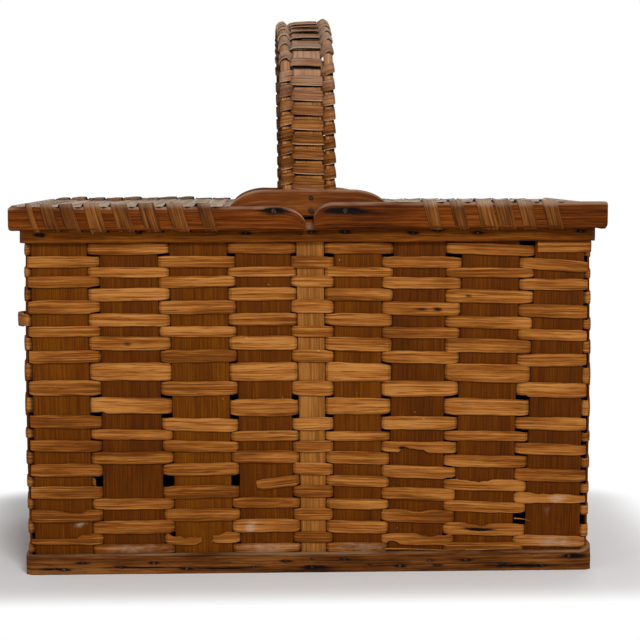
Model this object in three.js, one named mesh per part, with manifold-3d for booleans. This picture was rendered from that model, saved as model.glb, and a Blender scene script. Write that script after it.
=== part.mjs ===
// A two-lidded picnic basket of split-wood splints. Upright stakes run down one wall, under the base and
// up the other, weavers ring them row by row, a rim and a foot band bind the edges, a hoop handle stands
// over the middle, and two half lids turn on nails in the ears beside it.
// Millimetres, +Z up, the front towards -Y; the origin is on the ground under the middle of the basket.
import * as THREE from 'three';
import { mergeVertices } from 'three/addons/utils/BufferGeometryUtils.js';
import Module from 'manifold-3d';

const wasm = await Module();
wasm.setup();

// Clearances
const FIT = 0.3; // between pieces that lie against each other
const SWING_GAP = 0.5; // between a lid and what it swings past

// Woven walls and base
const BODY_LENGTH = 402; // left to right, over the weavers
const BODY_DEPTH = 254; // front to back, over the weavers
const STAKE_THICKNESS = 1.6;
const LEFT_STAKE_WIDTHS = [38.8, 40.5, 42.3, 41.4]; // from the handle outwards
const LEFT_STAKE_GAPS = [4.6, 6.4, 8.2, 8.6]; // before each of these stakes, shared out over the wall
const RIGHT_STAKE_WIDTHS = [34.3, 36.8, 40.9, 38.4];
const RIGHT_STAKE_GAPS = [6.6, 7.2, 10.5, 10.2];
const END_STAKE_WIDTH = 41;
const END_STAKES = 5;
const CORNER_MARGIN = 2.7; // from a wall's corner line to its nearest stake
const WEAVER_THICKNESS = 1.2;
const WEAVER_GAP = 0.4; // between one row and the next
const DIVE_MARGIN = 0.7; // a splint lies flat this far past the edge of the one it crosses
const BASE_LIFT = 0.8; // ground to the lowest splint of the base
// Hand-split weavers differ in width: these are the rows from the rim down, shared out over the wall
const WEAVER_WIDTHS = [
  8.0, 9.0, 6.8, 7.7, 8.8, 9.2, 8.5, 7.6, 9.3, 8.5, 13.4, 11.6, 14.1,
  9.9, 6.7, 7.7, 8.5, 8.5, 7.4, 8.6, 7.3, 8.5, 8.7, 7.8, 6.3,
];

// Rim and foot
const RIM_TOP = 252.6; // ground to the top edge of the rim
const RIM_HEIGHT = 15.6;
const RIM_THICKNESS = 4.2;
const RIM_CORNER = 8; // outer corner radius of the outer rim
const INNER_RIM_CORNER = 3;
const FOOT_HEIGHT = 14.5;
const FOOT_THICKNESS = 3;
const FOOT_CORNER = 6;

// Handle
const HOOP_WIDTH = 19.2;
const HOOP_THICKNESS = 2;
const HANDLE_TOP = 403; // ground to the top of the wrapped rods
const ARCH_RISE = 42; // from where the legs begin to curve in up to the hoop's top
const ROD_DIAMETER = 5.8;
const ROD_SPACING = 30.4; // between the rods' centre lines
const WRAP_LOOPS = 17;
const WRAP_WIDTH = 6;
const WRAP_THICKNESS = 0.9;
const WRAP_SLACK = 0.5; // between the wrap and the hoop and rods that it goes round

// Hinge ears and pivot nails
const EAR_LIFT = 2.4; // rim's top edge to the ear's lower edge
const EAR_HEIGHT = 19.7;
const EAR_LENGTH = 116;
const EAR_SHOULDER = 28; // length of each rounded shoulder
const EAR_THICKNESS = 5;
const PIVOT_OFFSET = 25; // from the middle of the basket to each pivot nail
const PIVOT_LIFT = 4.2; // ear's lower edge to the pivot nails
const NAIL_DIAMETER = 2.4;
const NAIL_HEAD_DIAMETER = 6;
const NAIL_HEAD_THICKNESS = 1;
const NAIL_DEPTH = 4.5; // how far a pivot nail enters its ear

// Lids
const LID_OVERHANG = 9; // each lid's outer end past the woven wall
const LID_GAP = 6; // between the two lids at the middle
const RAIL_HEIGHT = 16.5;
const RAIL_OVERHANG = 6.9; // how far the rails hang below the rim's top edge
const RAIL_THICKNESS = 6;
const RAIL_NOSE_LENGTH = 19; // rounded inner end, along the rail
const RAIL_NOSE_HEIGHT = 12;
const RAIL_CORNER = 2.5; // rounded lower corner at the outer end
const END_RAIL_THICKNESS = 4.5;
const MAT_THICKNESS = 3.6;
const MAT_RISE = 0.4; // the mat stands this far above the rails
const HEM_THICKNESS = 4; // edge of the mat that is turned down on to the rim
const NOTCH_GAP = 2; // round the handle and the ears, where the mat is cut away
const LASH_LOOPS = 7;
const LASH_WIDTH = 8.5;
const LASH_THICKNESS = 1;
const LASH_MARGIN = 8; // bare rail at each end of the lashing
const LASH_BITE = 0.1; // the lashing is drawn this far into the rail's faces
const LASH_EDGE_BITE = 0.3; // and this far into its top and bottom edges

// How finely round shapes are cut
const ARCH_STEPS = 24;
const ROD_SIDES = 8;
const NAIL_SIDES = 8;
const CORNER_STEPS = 2;
const SHOULDER_STEPS = 3;
const NOSE_STEPS = 4;
const WELD_DISTANCE = 1e-4; // points closer than this are one

const FINISHES = {
  stake: { color: 0x674018, roughness: 0.6, metalness: 0 },
  weaver: { color: 0x9c6430, roughness: 0.6, metalness: 0 },
  rim: { color: 0x7a4822, roughness: 0.55, metalness: 0 },
  handle: { color: 0x91643f, roughness: 0.6, metalness: 0 },
  mat: { color: 0x7d6248, roughness: 0.7, metalness: 0 },
  nail: { color: 0x33251d, roughness: 0.7, metalness: 0.8 },
};

// Lines that several pieces share
const wallX = BODY_LENGTH / 2 - WEAVER_THICKNESS - FIT - STAKE_THICKNESS / 2; // middle of the stakes
const wallY = BODY_DEPTH / 2 - WEAVER_THICKNESS - FIT - STAKE_THICKNESS / 2;
const bandSeat = HOOP_THICKNESS / 2 + FIT; // from the stakes' middle to the rim and foot band
const baseHeight = BASE_LIFT + HOOP_THICKNESS + FIT / 2; // middle of the woven base
const wrapRadius = ROD_DIAMETER / 2 + WRAP_SLACK + WRAP_THICKNESS / 2; // rod's middle to its wrap's middle
const wrapOrbit = wrapRadius / Math.cos(Math.PI / 6); // the corners of the wrap, six round a rod
const wrapReach = wrapOrbit + WRAP_THICKNESS / 2; // from a rod's middle to the outside of those corners
const archTop = HANDLE_TOP - wrapRadius - WRAP_THICKNESS / 2; // middle of the hoop at its top
const springHeight = archTop - ARCH_RISE;
const earInside = ROD_DIAMETER / 2 + FIT; // the ears and rails lie outside the stakes' middle
const earOutside = earInside + EAR_THICKNESS;
const railInside = earOutside + SWING_GAP;
const railOutside = railInside + RAIL_THICKNESS;
const earBottom = RIM_TOP + EAR_LIFT;
const pivotHeight = earBottom + PIVOT_LIFT;
const railBottom = RIM_TOP - RAIL_OVERHANG;
const railTop = railBottom + RAIL_HEIGHT;
const lidEnd = BODY_LENGTH / 2 + LID_OVERHANG; // from the middle of the basket to a lid's outer end
const endRailInside = lidEnd - END_RAIL_THICKNESS;

// Turns that stand a flat outline up: seen from the end of the basket, or from its front
const axes = [new THREE.Vector3(1, 0, 0), new THREE.Vector3(0, 1, 0), new THREE.Vector3(0, 0, 1)];
const towards = (axis, sign) => axes[axis].clone().multiplyScalar(sign);
function turnTo(x, y, z) {
  return new THREE.Quaternion().setFromRotationMatrix(new THREE.Matrix4().makeBasis(x, y, z));
}
const seenFromEnd = turnTo(axes[1], axes[2], axes[0]);
const seenFromFront = turnTo(axes[0], axes[2], towards(1, -1));

const basket = new THREE.Group();

function addPiece(parent, name, geometry, finish) {
  const mesh = new THREE.Mesh(geometry, new THREE.MeshStandardMaterial(FINISHES[finish]));
  mesh.name = name;
  parent.add(mesh);
  return mesh;
}

// A flat outline made into a plate, half of its thickness on each side.
function plate(shape, thickness, curveSegments = 4) {
  const geometry = new THREE.ExtrudeGeometry(shape, { depth: thickness, bevelEnabled: false, curveSegments });
  return geometry.translate(0, 0, -thickness / 2);
}

// The skin over rings of points in order, closed into a loop or capped at both ends.
function loft(rings, closed) {
  const sides = rings[0].length;
  const triangles = [];
  const spans = closed ? rings.length : rings.length - 1;
  for (let i = 0; i < spans; i += 1) {
    const here = i * sides;
    const next = ((i + 1) % rings.length) * sides;
    for (let j = 0; j < sides; j += 1) {
      const k = (j + 1) % sides;
      triangles.push(here + j, here + k, next + k, here + j, next + k, next + j);
    }
  }
  const last = (rings.length - 1) * sides;
  for (let j = 1; j < sides - 1 && !closed; j += 1) {
    triangles.push(0, j + 1, j, last, last + j, last + j + 1);
  }
  const geometry = new THREE.BufferGeometry().setFromPoints(rings.flat());
  geometry.setIndex(triangles);
  return geometry;
}

// Solids for joining, and back again.
function toSolid(geometry) {
  const bare = geometry.clone();
  bare.deleteAttribute('normal');
  bare.deleteAttribute('uv');
  const merged = mergeVertices(bare, WELD_DISTANCE);
  const mesh = new wasm.Mesh({
    numProp: 3,
    vertProperties: merged.attributes.position.array,
    triVerts: Uint32Array.from(merged.index.array),
  });
  return new wasm.Manifold(mesh);
}

function toGeometry(solid) {
  const mesh = solid.getMesh();
  const geometry = new THREE.BufferGeometry();
  geometry.setAttribute('position', new THREE.BufferAttribute(mesh.vertProperties, 3));
  geometry.setIndex(new THREE.BufferAttribute(mesh.triVerts, 1));
  return geometry;
}

// For each point of a bent line, the sideways step that keeps a splint's thickness through the bend.
function mitres(line, closed) {
  return line.map((point, i) => {
    const before = i > 0 || closed ? line.at(i - 1) : point;
    const after = i < line.length - 1 || closed ? line[(i + 1) % line.length] : point;
    const arriving = point.clone().sub(before).normalize();
    const leaving = after.clone().sub(point).normalize();
    const along = arriving.clone().add(leaving).normalize();
    const side = new THREE.Vector2(-along.y, along.x);
    const straight = arriving.lengthSq() > 0 ? arriving : leaving;
    return side.divideScalar(along.dot(straight));
  });
}

// The two edges of a splint that follows a bent line: to its left, and to its right.
function splintEdges(line, thickness, closed) {
  const steps = mitres(line, closed);
  const edge = (offset) => line.map((point, i) => point.clone().addScaledVector(steps[i], offset));
  return [edge(thickness / 2), edge(-thickness / 2)];
}

// Stakes in order along the front wall, the handle's hoop among them, and along an end wall.
const total = (values) => values.reduce((sum, value) => sum + value, 0);
function spreadStakes(widths, gaps, side) {
  const room = wallX - CORNER_MARGIN - HOOP_WIDTH / 2 - total(widths);
  let edge = HOOP_WIDTH / 2;
  return widths.map((width, k) => {
    const start = edge + room * gaps[k] / total(gaps);
    edge = start + width;
    return { at: side * (start + width / 2), width, thickness: STAKE_THICKNESS };
  });
}
const leftStakes = spreadStakes(LEFT_STAKE_WIDTHS, LEFT_STAKE_GAPS, -1).reverse();
const rightStakes = spreadStakes(RIGHT_STAKE_WIDTHS, RIGHT_STAKE_GAPS, 1);
const hoopStake = { at: 0, width: HOOP_WIDTH, thickness: HOOP_THICKNESS };
const frontStakes = [...leftStakes, hoopStake, ...rightStakes];
const endPitch = (2 * (wallY - CORNER_MARGIN) - END_STAKE_WIDTH) / (END_STAKES - 1);
const endStakes = Array.from({ length: END_STAKES }, (_, k) => (
  { at: (k - (END_STAKES - 1) / 2) * endPitch, width: END_STAKE_WIDTH, thickness: STAKE_THICKNESS }
));

// The line of a stake through the base, from one wall to the other, over and under the stakes it crosses.
function baseLine(stake, order, crossed, wall) {
  const level = (k) => baseHeight + ((order + k) % 2 === 0 ? 1 : -1) * (stake.thickness + FIT) / 2;
  const line = [new THREE.Vector2(-wall, level(0))];
  crossed.forEach((other, k) => {
    const half = other.width / 2 + DIVE_MARGIN;
    if (k > 0) {
      line.push(new THREE.Vector2(other.at - half, level(k)));
    }
    if (k < crossed.length - 1) {
      line.push(new THREE.Vector2(other.at + half, level(k)));
    }
  });
  line.push(new THREE.Vector2(wall, level(crossed.length - 1)));
  return line;
}

// Stakes: one splint each, bent up at both ends.
function stakeGeometry(stake, order, crossed, wall) {
  const top = RIM_TOP - FIT;
  const line = [
    new THREE.Vector2(-wall, top),
    ...baseLine(stake, order, crossed, wall),
    new THREE.Vector2(wall, top),
  ];
  const [left, right] = splintEdges(line, stake.thickness, false);
  return plate(new THREE.Shape([...right, ...left.reverse()]), stake.width);
}

frontStakes.forEach((stake, j) => {
  if (stake !== hoopStake) {
    const number = j < leftStakes.length ? j + 1 : j;
    const geometry = stakeGeometry(stake, j, endStakes, wallY);
    const mesh = addPiece(basket, `front_stake_${number}`, geometry, 'stake');
    mesh.quaternion.copy(seenFromEnd);
    mesh.position.x = stake.at;
  }
});
endStakes.forEach((stake, k) => {
  const geometry = stakeGeometry(stake, k + 1, frontStakes, wallX);
  const mesh = addPiece(basket, `end_stake_${k + 1}`, geometry, 'stake');
  mesh.quaternion.copy(seenFromFront);
  mesh.position.y = stake.at;
});

// Weavers: each is a ring that passes outside every other stake, and the next row swaps over.
const longWall = { half: wallX, reach: wallY, stakes: frontStakes };
const endWall = { half: wallY, reach: wallX, stakes: endStakes };
const walls = [
  { ...longWall, along: towards(0, 1), out: towards(1, -1), way: 1 },
  { ...endWall, along: towards(1, 1), out: towards(0, 1), way: 1 },
  { ...longWall, along: towards(0, -1), out: towards(1, 1), way: -1 },
  { ...endWall, along: towards(1, -1), out: towards(0, -1), way: -1 },
];

function weaverGeometry(row, bottom, top) {
  const rings = [];
  const addRing = (wall, along, offset, out) => {
    const middle = wall.out.clone().multiplyScalar(wall.reach + offset).addScaledVector(wall.along, along);
    const corner = (side, height) => (
      middle.clone().addScaledVector(out, side * WEAVER_THICKNESS / 2).setZ(height)
    );
    rings.push([corner(-1, bottom), corner(-1, top), corner(1, top), corner(1, bottom)]);
  };
  let passed = 0;
  walls.forEach((wall, w) => {
    const inOrder = wall.way > 0 ? wall.stakes : [...wall.stakes].reverse();
    inOrder.forEach((stake) => {
      const outside = (passed + row) % 2 === 1;
      const offset = (outside ? 1 : -1) * (stake.thickness / 2 + FIT + WEAVER_THICKNESS / 2);
      const half = stake.width / 2 + DIVE_MARGIN;
      addRing(wall, wall.way * stake.at - half, offset, wall.out);
      addRing(wall, wall.way * stake.at + half, offset, wall.out);
      passed += 1;
    });
    const next = walls[(w + 1) % walls.length];
    addRing(wall, wall.half, 0, wall.out.clone().add(next.out));
  });
  return loft(rings, true);
}

const weaveTop = RIM_TOP - RIM_HEIGHT;
const weaveRoom = weaveTop - FOOT_HEIGHT - (WEAVER_WIDTHS.length + 1) * WEAVER_GAP;
const widthShare = weaveRoom / total(WEAVER_WIDTHS);
let rowTop = weaveTop - WEAVER_GAP;
WEAVER_WIDTHS.forEach((width, row) => {
  const rowBottom = rowTop - width * widthShare;
  const number = String(row + 1).padStart(2, '0');
  addPiece(basket, `weaver_${number}`, weaverGeometry(row, rowBottom, rowTop), 'weaver');
  rowTop = rowBottom - WEAVER_GAP;
});

// Rims and foot band: bent strips round the outside or the inside of the stakes.
function roundedRectangle(path, halfX, halfY, radius) {
  path.absarc(halfX - radius, halfY - radius, radius, 0, Math.PI / 2);
  path.absarc(radius - halfX, halfY - radius, radius, Math.PI / 2, Math.PI);
  path.absarc(radius - halfX, radius - halfY, radius, Math.PI, 1.5 * Math.PI);
  path.absarc(halfX - radius, radius - halfY, radius, 1.5 * Math.PI, 2 * Math.PI);
  path.closePath();
  return path;
}

function addBand(name, inside, thickness, corner, bottom, height) {
  const outside = inside + thickness;
  const shape = roundedRectangle(new THREE.Shape(), wallX + outside, wallY + outside, corner);
  const innerCorner = Math.max(corner - thickness, thickness / 4);
  shape.holes.push(roundedRectangle(new THREE.Path(), wallX + inside, wallY + inside, innerCorner));
  const mesh = addPiece(basket, name, plate(shape, height, CORNER_STEPS), 'rim');
  mesh.position.z = bottom + height / 2;
}
const rimBottom = RIM_TOP - RIM_HEIGHT;
addBand('outer_rim', bandSeat, RIM_THICKNESS, RIM_CORNER, rimBottom, RIM_HEIGHT);
addBand('inner_rim', -bandSeat - RIM_THICKNESS, RIM_THICKNESS, INNER_RIM_CORNER, rimBottom, RIM_HEIGHT);
addBand('foot_band', bandSeat, FOOT_THICKNESS, FOOT_CORNER, 0, FOOT_HEIGHT);

// Handle hoop: the middle stake goes on upwards and closes over the top.
const arch = new THREE.EllipseCurve(0, springHeight, wallY, ARCH_RISE, Math.PI, 0, true); // front to back
const hoopOrder = frontStakes.indexOf(hoopStake);
const hoopBase = baseLine(hoopStake, hoopOrder, endStakes, wallY);
const hoopLine = [...hoopBase, ...arch.getPoints(ARCH_STEPS).reverse()];
const [hoopInside, hoopOutside] = splintEdges(hoopLine, HOOP_THICKNESS, true);
const hoopShape = new THREE.Shape(hoopOutside);
hoopShape.holes.push(new THREE.Path(hoopInside));
addPiece(basket, 'handle_hoop', plate(hoopShape, HOOP_WIDTH), 'handle').quaternion.copy(seenFromEnd);

// A place on a curve over the handle: its point, the way along it, and the way out of it.
function handlePlace(curve, share) {
  const point = curve.getPoint(share);
  const tangent = curve.getTangent(share);
  return {
    middle: new THREE.Vector3(0, point.x, point.y),
    along: new THREE.Vector3(0, tangent.x, tangent.y),
    out: new THREE.Vector3(0, -tangent.y, tangent.x),
  };
}

// Handle rods: two round rods beside the hoop, standing on the rim.
const rodPlaces = Array.from({ length: ARCH_STEPS + 1 }, (_, i) => handlePlace(arch, i / ARCH_STEPS));
const rodFoot = (place) => ({ ...place, middle: place.middle.clone().setZ(RIM_TOP + FIT) });
rodPlaces.unshift(rodFoot(rodPlaces[0]));
rodPlaces.push(rodFoot(rodPlaces.at(-1)));
const sides = [['left', -1], ['right', 1]];
for (const [name, side] of sides) {
  const rings = rodPlaces.map((place) => Array.from({ length: ROD_SIDES }, (_, j) => {
    const angle = (2 * Math.PI * (j + 0.5)) / ROD_SIDES;
    return place.middle.clone()
      .addScaledVector(place.out, (Math.cos(angle) * ROD_DIAMETER) / 2)
      .addScaledVector(axes[0], (Math.sin(angle) * ROD_DIAMETER + side * ROD_SPACING) / 2);
  }));
  addPiece(basket, `${name}_handle_rod`, loft(rings, false), 'handle');
}

// The least distance between points of a winding that are more than a few rings apart.
function leastSelfGap(rings, apart) {
  let least = Infinity;
  rings.forEach((ring, i) => {
    const here = ring.flatMap((point, k) => [point, point.clone().lerp(ring[(k + 1) % ring.length], 0.5)]);
    for (const other of rings.slice(i + apart)) {
      for (const far of other) {
        least = Math.min(least, ...here.map((point) => point.distanceTo(far)));
      }
    }
  });
  return least;
}

// Handle wrap: one splint that passes outside both rods and inside the hoop, then the other way about.
function wrapTurn() {
  const rod = ROD_SPACING / 2;
  const edge = HOOP_WIDTH / 2 + WRAP_SLACK;
  const face = HOOP_THICKNESS / 2 + WRAP_SLACK + WRAP_THICKNESS / 2;
  const round = (side, degrees) => degrees.map((angle) => new THREE.Vector2(wrapOrbit, 0)
    .rotateAround(new THREE.Vector2(), THREE.MathUtils.degToRad(angle))
    .add(new THREE.Vector2(side * rod, 0)));
  return [
    ...round(-1, [-60, -120, -180, -240, -300]),
    new THREE.Vector2(-edge, -face),
    new THREE.Vector2(edge, -face),
    ...round(1, [120, 60, 0, -60, -120]),
    new THREE.Vector2(edge, face),
    new THREE.Vector2(-edge, face),
  ];
}
const wrapFoot = earBottom + EAR_HEIGHT + FIT + WRAP_WIDTH / 2;
const wrapLine = new THREE.CurvePath();
wrapLine.add(new THREE.LineCurve(new THREE.Vector2(-wallY, wrapFoot), arch.getPoint(0)));
wrapLine.add(arch);
wrapLine.add(new THREE.LineCurve(arch.getPoint(1), new THREE.Vector2(wallY, wrapFoot)));
const turn = wrapTurn();
const turnSteps = mitres(turn, true);
const wrapStations = WRAP_LOOPS * turn.length;
const wrapRings = Array.from({ length: wrapStations + 1 }, (_, i) => {
  const place = handlePlace(wrapLine, i / wrapStations);
  const point = turn[i % turn.length];
  const step = turnSteps[i % turn.length];
  const corner = (across, along) => place.middle.clone()
    .addScaledVector(axes[0], point.x + across * step.x * WRAP_THICKNESS / 2)
    .addScaledVector(place.out, point.y + across * step.y * WRAP_THICKNESS / 2)
    .addScaledVector(place.along, along * WRAP_WIDTH / 2);
  return [corner(-1, -1), corner(-1, 1), corner(1, 1), corner(1, -1)];
});
addPiece(basket, 'handle_wrap', loft(wrapRings, false), 'handle');
console.log(`handle wrap: least gap to itself ${leastSelfGap(wrapRings, 3).toFixed(2)} mm`);

// Hinge ears: boards with round shoulders, outside the handle's legs.
function nailHole(x, y) {
  return new THREE.Path().absarc(x, y, NAIL_DIAMETER / 2 + FIT, 0, 2 * Math.PI);
}

function earShape() {
  const flat = EAR_LENGTH / 2 - EAR_SHOULDER;
  const shape = new THREE.Shape();
  shape.absellipse(flat, 0, EAR_SHOULDER, EAR_HEIGHT, 0, Math.PI / 2);
  shape.absellipse(-flat, 0, EAR_SHOULDER, EAR_HEIGHT, Math.PI / 2, Math.PI);
  shape.closePath();
  for (const side of [-1, 1]) {
    shape.holes.push(nailHole(side * PIVOT_OFFSET, PIVOT_LIFT));
  }
  return shape;
}
const fronts = [['front', -1], ['back', 1]];
for (const [end, way] of fronts) {
  const mesh = addPiece(basket, `${end}_hinge_ear`, plate(earShape(), EAR_THICKNESS, SHOULDER_STEPS), 'rim');
  mesh.quaternion.copy(seenFromFront);
  mesh.position.set(0, way * (wallY + earInside + EAR_THICKNESS / 2), earBottom);
}

// Pivot nails: driven through the lids' rails into the ears.
function nailGeometry() {
  const headStart = RAIL_THICKNESS + SWING_GAP + NAIL_DEPTH + FIT;
  const profile = [
    [0, 0], [NAIL_DIAMETER / 2, 0], [NAIL_DIAMETER / 2, headStart], [NAIL_HEAD_DIAMETER / 2, headStart],
    [NAIL_HEAD_DIAMETER / 2, headStart + NAIL_HEAD_THICKNESS], [0, headStart + NAIL_HEAD_THICKNESS],
  ];
  return new THREE.LatheGeometry(profile.map(([x, y]) => new THREE.Vector2(x, y)), NAIL_SIDES);
}
for (const [lid, side] of sides) {
  for (const [end, way] of fronts) {
    const mesh = addPiece(basket, `${lid}_${end}_pivot_nail`, nailGeometry(), 'nail');
    mesh.rotation.z = way < 0 ? Math.PI : 0;
    mesh.position.set(side * PIVOT_OFFSET, way * (wallY + earOutside - NAIL_DEPTH), pivotHeight);
  }
}

// Lid rails: straight strips with a rounded nose past the pivot, bound with a wound splint.
function railShape(side) {
  const nose = LID_GAP / 2 + RAIL_NOSE_LENGTH;
  const noseBase = railTop - RAIL_NOSE_HEIGHT;
  const shape = new THREE.Shape();
  shape.moveTo(LID_GAP / 2, railBottom);
  shape.lineTo(lidEnd - RAIL_CORNER, railBottom);
  shape.absarc(lidEnd - RAIL_CORNER, railBottom + RAIL_CORNER, RAIL_CORNER, -Math.PI / 2, 0);
  shape.lineTo(lidEnd, railTop);
  shape.absellipse(nose, noseBase, RAIL_NOSE_LENGTH, RAIL_NOSE_HEIGHT, Math.PI / 2, Math.PI);
  shape.closePath();
  const points = shape.getPoints(NOSE_STEPS).map((point) => new THREE.Vector2(side * point.x, point.y));
  const outline = new THREE.Shape(points);
  outline.holes.push(nailHole(side * PIVOT_OFFSET, pivotHeight));
  return outline;
}

// A lashing wound round a rail: each turn goes down its outer face, and back up behind it.
const LASH_SECTION = 4; // corners of one turn
function lashRings(way) {
  const outer = railOutside + LASH_THICKNESS / 2 - LASH_BITE;
  const inner = railInside - LASH_THICKNESS / 2 + LASH_BITE;
  const top = railTop + LASH_THICKNESS / 2 - LASH_EDGE_BITE;
  const bottom = railBottom - LASH_THICKNESS / 2 + LASH_EDGE_BITE;
  const section = [[outer, top], [outer, bottom], [inner, bottom], [inner, top]]
    .map(([out, height]) => new THREE.Vector2(way * (wallY + out), height));
  const steps = mitres(section, true);
  const shares = [0, 0.4, 0.5, 0.9]; // how much of its advance a turn has made at each corner
  const start = EAR_LENGTH / 2 + LASH_MARGIN;
  const pitch = (endRailInside - LASH_MARGIN - start) / LASH_LOOPS;
  return Array.from({ length: LASH_LOOPS * LASH_SECTION + 1 }, (_, i) => {
    const k = i % LASH_SECTION;
    const along = start + pitch * (Math.floor(i / LASH_SECTION) + shares[k]);
    const corner = (across, end) => {
      const point = section[k].clone().addScaledVector(steps[k], across * LASH_THICKNESS / 2);
      return new THREE.Vector3(along + end * LASH_WIDTH / 2, point.x, point.y);
    };
    return [corner(-1, 1), corner(-1, -1), corner(1, -1), corner(1, 1)];
  });
}

function railGeometry(side, way) {
  const rail = plate(railShape(side), RAIL_THICKNESS, SHOULDER_STEPS).applyQuaternion(seenFromFront);
  rail.translate(0, way * (wallY + railInside + RAIL_THICKNESS / 2), 0);
  const rings = lashRings(way);
  const start = EAR_LENGTH / 2 + endRailInside;
  const placed = side > 0 ? rings : rings.map((ring) => (
    ring.map((point) => point.clone().setX(point.x - start))
  ));
  return toGeometry(toSolid(rail).add(toSolid(loft(placed, false))));
}

// Lid mats: woven sheets, cut away round the handle and the ears, with a hem turned down on to the rim.
function matGeometry(side) {
  const top = railTop + MAT_RISE;
  const edge = wallY + railInside - LASH_THICKNESS - FIT;
  const end = endRailInside - FIT;
  const pastEar = EAR_LENGTH / 2 + NOTCH_GAP;
  const besideEar = wallY + earInside - SWING_GAP;
  const pastHandle = ROD_SPACING / 2 + wrapReach + NOTCH_GAP;
  const insideHandle = wallY - wrapReach - NOTCH_GAP;
  const half = [
    [LID_GAP / 2, insideHandle], [pastHandle, insideHandle], [pastHandle, besideEar], [pastEar, besideEar],
    [pastEar, edge], [end, edge],
  ];
  const around = (corners) => new THREE.Shape([...corners, ...corners.map(([x, y]) => [x, -y]).reverse()]
    .map(([x, y]) => new THREE.Vector2(side * x, y)));
  const sheet = plate(around(half), MAT_THICKNESS).translate(0, 0, top - MAT_THICKNESS / 2);
  const hemBottom = RIM_TOP + FIT;
  const hemHeight = top - MAT_THICKNESS / 2 - hemBottom;
  const hemInside = edge - HEM_THICKNESS;
  const hemShape = around([
    [end - HEM_THICKNESS, hemInside], [pastEar, hemInside], [pastEar, edge], [end, edge],
  ]);
  const hem = plate(hemShape, hemHeight).translate(0, 0, hemBottom + hemHeight / 2);
  return toGeometry(toSolid(sheet).add(toSolid(hem)));
}

// Each lid is a group on its own hinge line, so that turning the group opens the lid.
for (const [name, side] of sides) {
  const lid = new THREE.Group();
  lid.position.set(side * PIVOT_OFFSET, 0, pivotHeight);
  const onHinge = (geometry) => geometry.translate(-lid.position.x, 0, -lid.position.z);
  for (const [end, way] of fronts) {
    addPiece(lid, `${name}_lid_${end}_rail`, onHinge(railGeometry(side, way)), 'rim');
  }
  const endRailLength = 2 * (wallY + railInside - FIT);
  const endRail = new THREE.BoxGeometry(END_RAIL_THICKNESS, endRailLength, RAIL_HEIGHT);
  endRail.translate(side * (endRailInside + END_RAIL_THICKNESS / 2), 0, railBottom + RAIL_HEIGHT / 2);
  addPiece(lid, `${name}_lid_end_rail`, onHinge(endRail), 'rim');
  addPiece(lid, `${name}_lid_mat`, onHinge(matGeometry(side)), 'mat');
  basket.add(lid);
}
console.log(`lid lashing: least gap to itself ${leastSelfGap(lashRings(1), LASH_SECTION).toFixed(2)} mm`);

export default basket;
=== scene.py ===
# A picnic basket of split-wood splints, with two half lids and a wrapped handle.
import math

import bmesh
import bpy
import numpy as np
from mathutils import Matrix, Vector, noise


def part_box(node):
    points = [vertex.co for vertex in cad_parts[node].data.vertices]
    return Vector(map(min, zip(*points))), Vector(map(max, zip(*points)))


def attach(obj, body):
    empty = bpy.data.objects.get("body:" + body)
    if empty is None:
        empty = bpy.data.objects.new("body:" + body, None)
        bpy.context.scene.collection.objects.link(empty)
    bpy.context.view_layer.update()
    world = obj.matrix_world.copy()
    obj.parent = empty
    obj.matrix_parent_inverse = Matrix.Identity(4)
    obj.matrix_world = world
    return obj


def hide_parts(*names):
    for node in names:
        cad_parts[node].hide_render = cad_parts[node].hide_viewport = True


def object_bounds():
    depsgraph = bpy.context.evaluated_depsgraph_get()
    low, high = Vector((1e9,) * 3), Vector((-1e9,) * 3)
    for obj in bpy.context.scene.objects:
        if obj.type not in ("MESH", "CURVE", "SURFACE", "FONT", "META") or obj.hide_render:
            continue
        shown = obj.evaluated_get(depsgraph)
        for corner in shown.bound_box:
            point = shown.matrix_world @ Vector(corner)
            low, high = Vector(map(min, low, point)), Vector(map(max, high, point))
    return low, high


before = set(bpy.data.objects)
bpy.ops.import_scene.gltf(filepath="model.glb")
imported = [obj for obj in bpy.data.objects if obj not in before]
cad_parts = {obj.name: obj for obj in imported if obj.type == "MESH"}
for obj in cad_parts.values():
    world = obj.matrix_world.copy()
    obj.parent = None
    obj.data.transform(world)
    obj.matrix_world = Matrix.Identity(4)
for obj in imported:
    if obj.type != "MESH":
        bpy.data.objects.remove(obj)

cad_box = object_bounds()


# The view: the camera stands a long step in front of the basket, a little to the left of its middle
# and just above its lids, and looks slightly down and to the right.
CAMERA_PLACE = (-0.03726, -1.4199, 0.29074)
CAMERA_YAW = 0.0347
CAMERA_PITCH = -0.0843
CAMERA_ROLL = -0.0022
CAMERA_LENS = 102.9
SENSOR_WIDTH = 36.0


def placed(name, data):
    """A new object in the scene, at the origin."""
    made = bpy.data.objects.new(name, data)
    bpy.context.scene.collection.objects.link(made)
    return made


camera = placed("camera", bpy.data.cameras.new("camera"))
camera.data.lens = CAMERA_LENS
camera.data.sensor_width = SENSOR_WIDTH
camera_turn = (Matrix.Rotation(-CAMERA_YAW, 3, "Z")
               @ Matrix.Rotation(math.pi / 2 + CAMERA_PITCH, 3, "X")
               @ Matrix.Rotation(CAMERA_ROLL, 3, "Z"))
camera.location = CAMERA_PLACE
camera.rotation_euler = camera_turn.to_euler()
bpy.context.scene.camera = camera
bpy.context.scene.view_settings.view_transform = "Standard"


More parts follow.
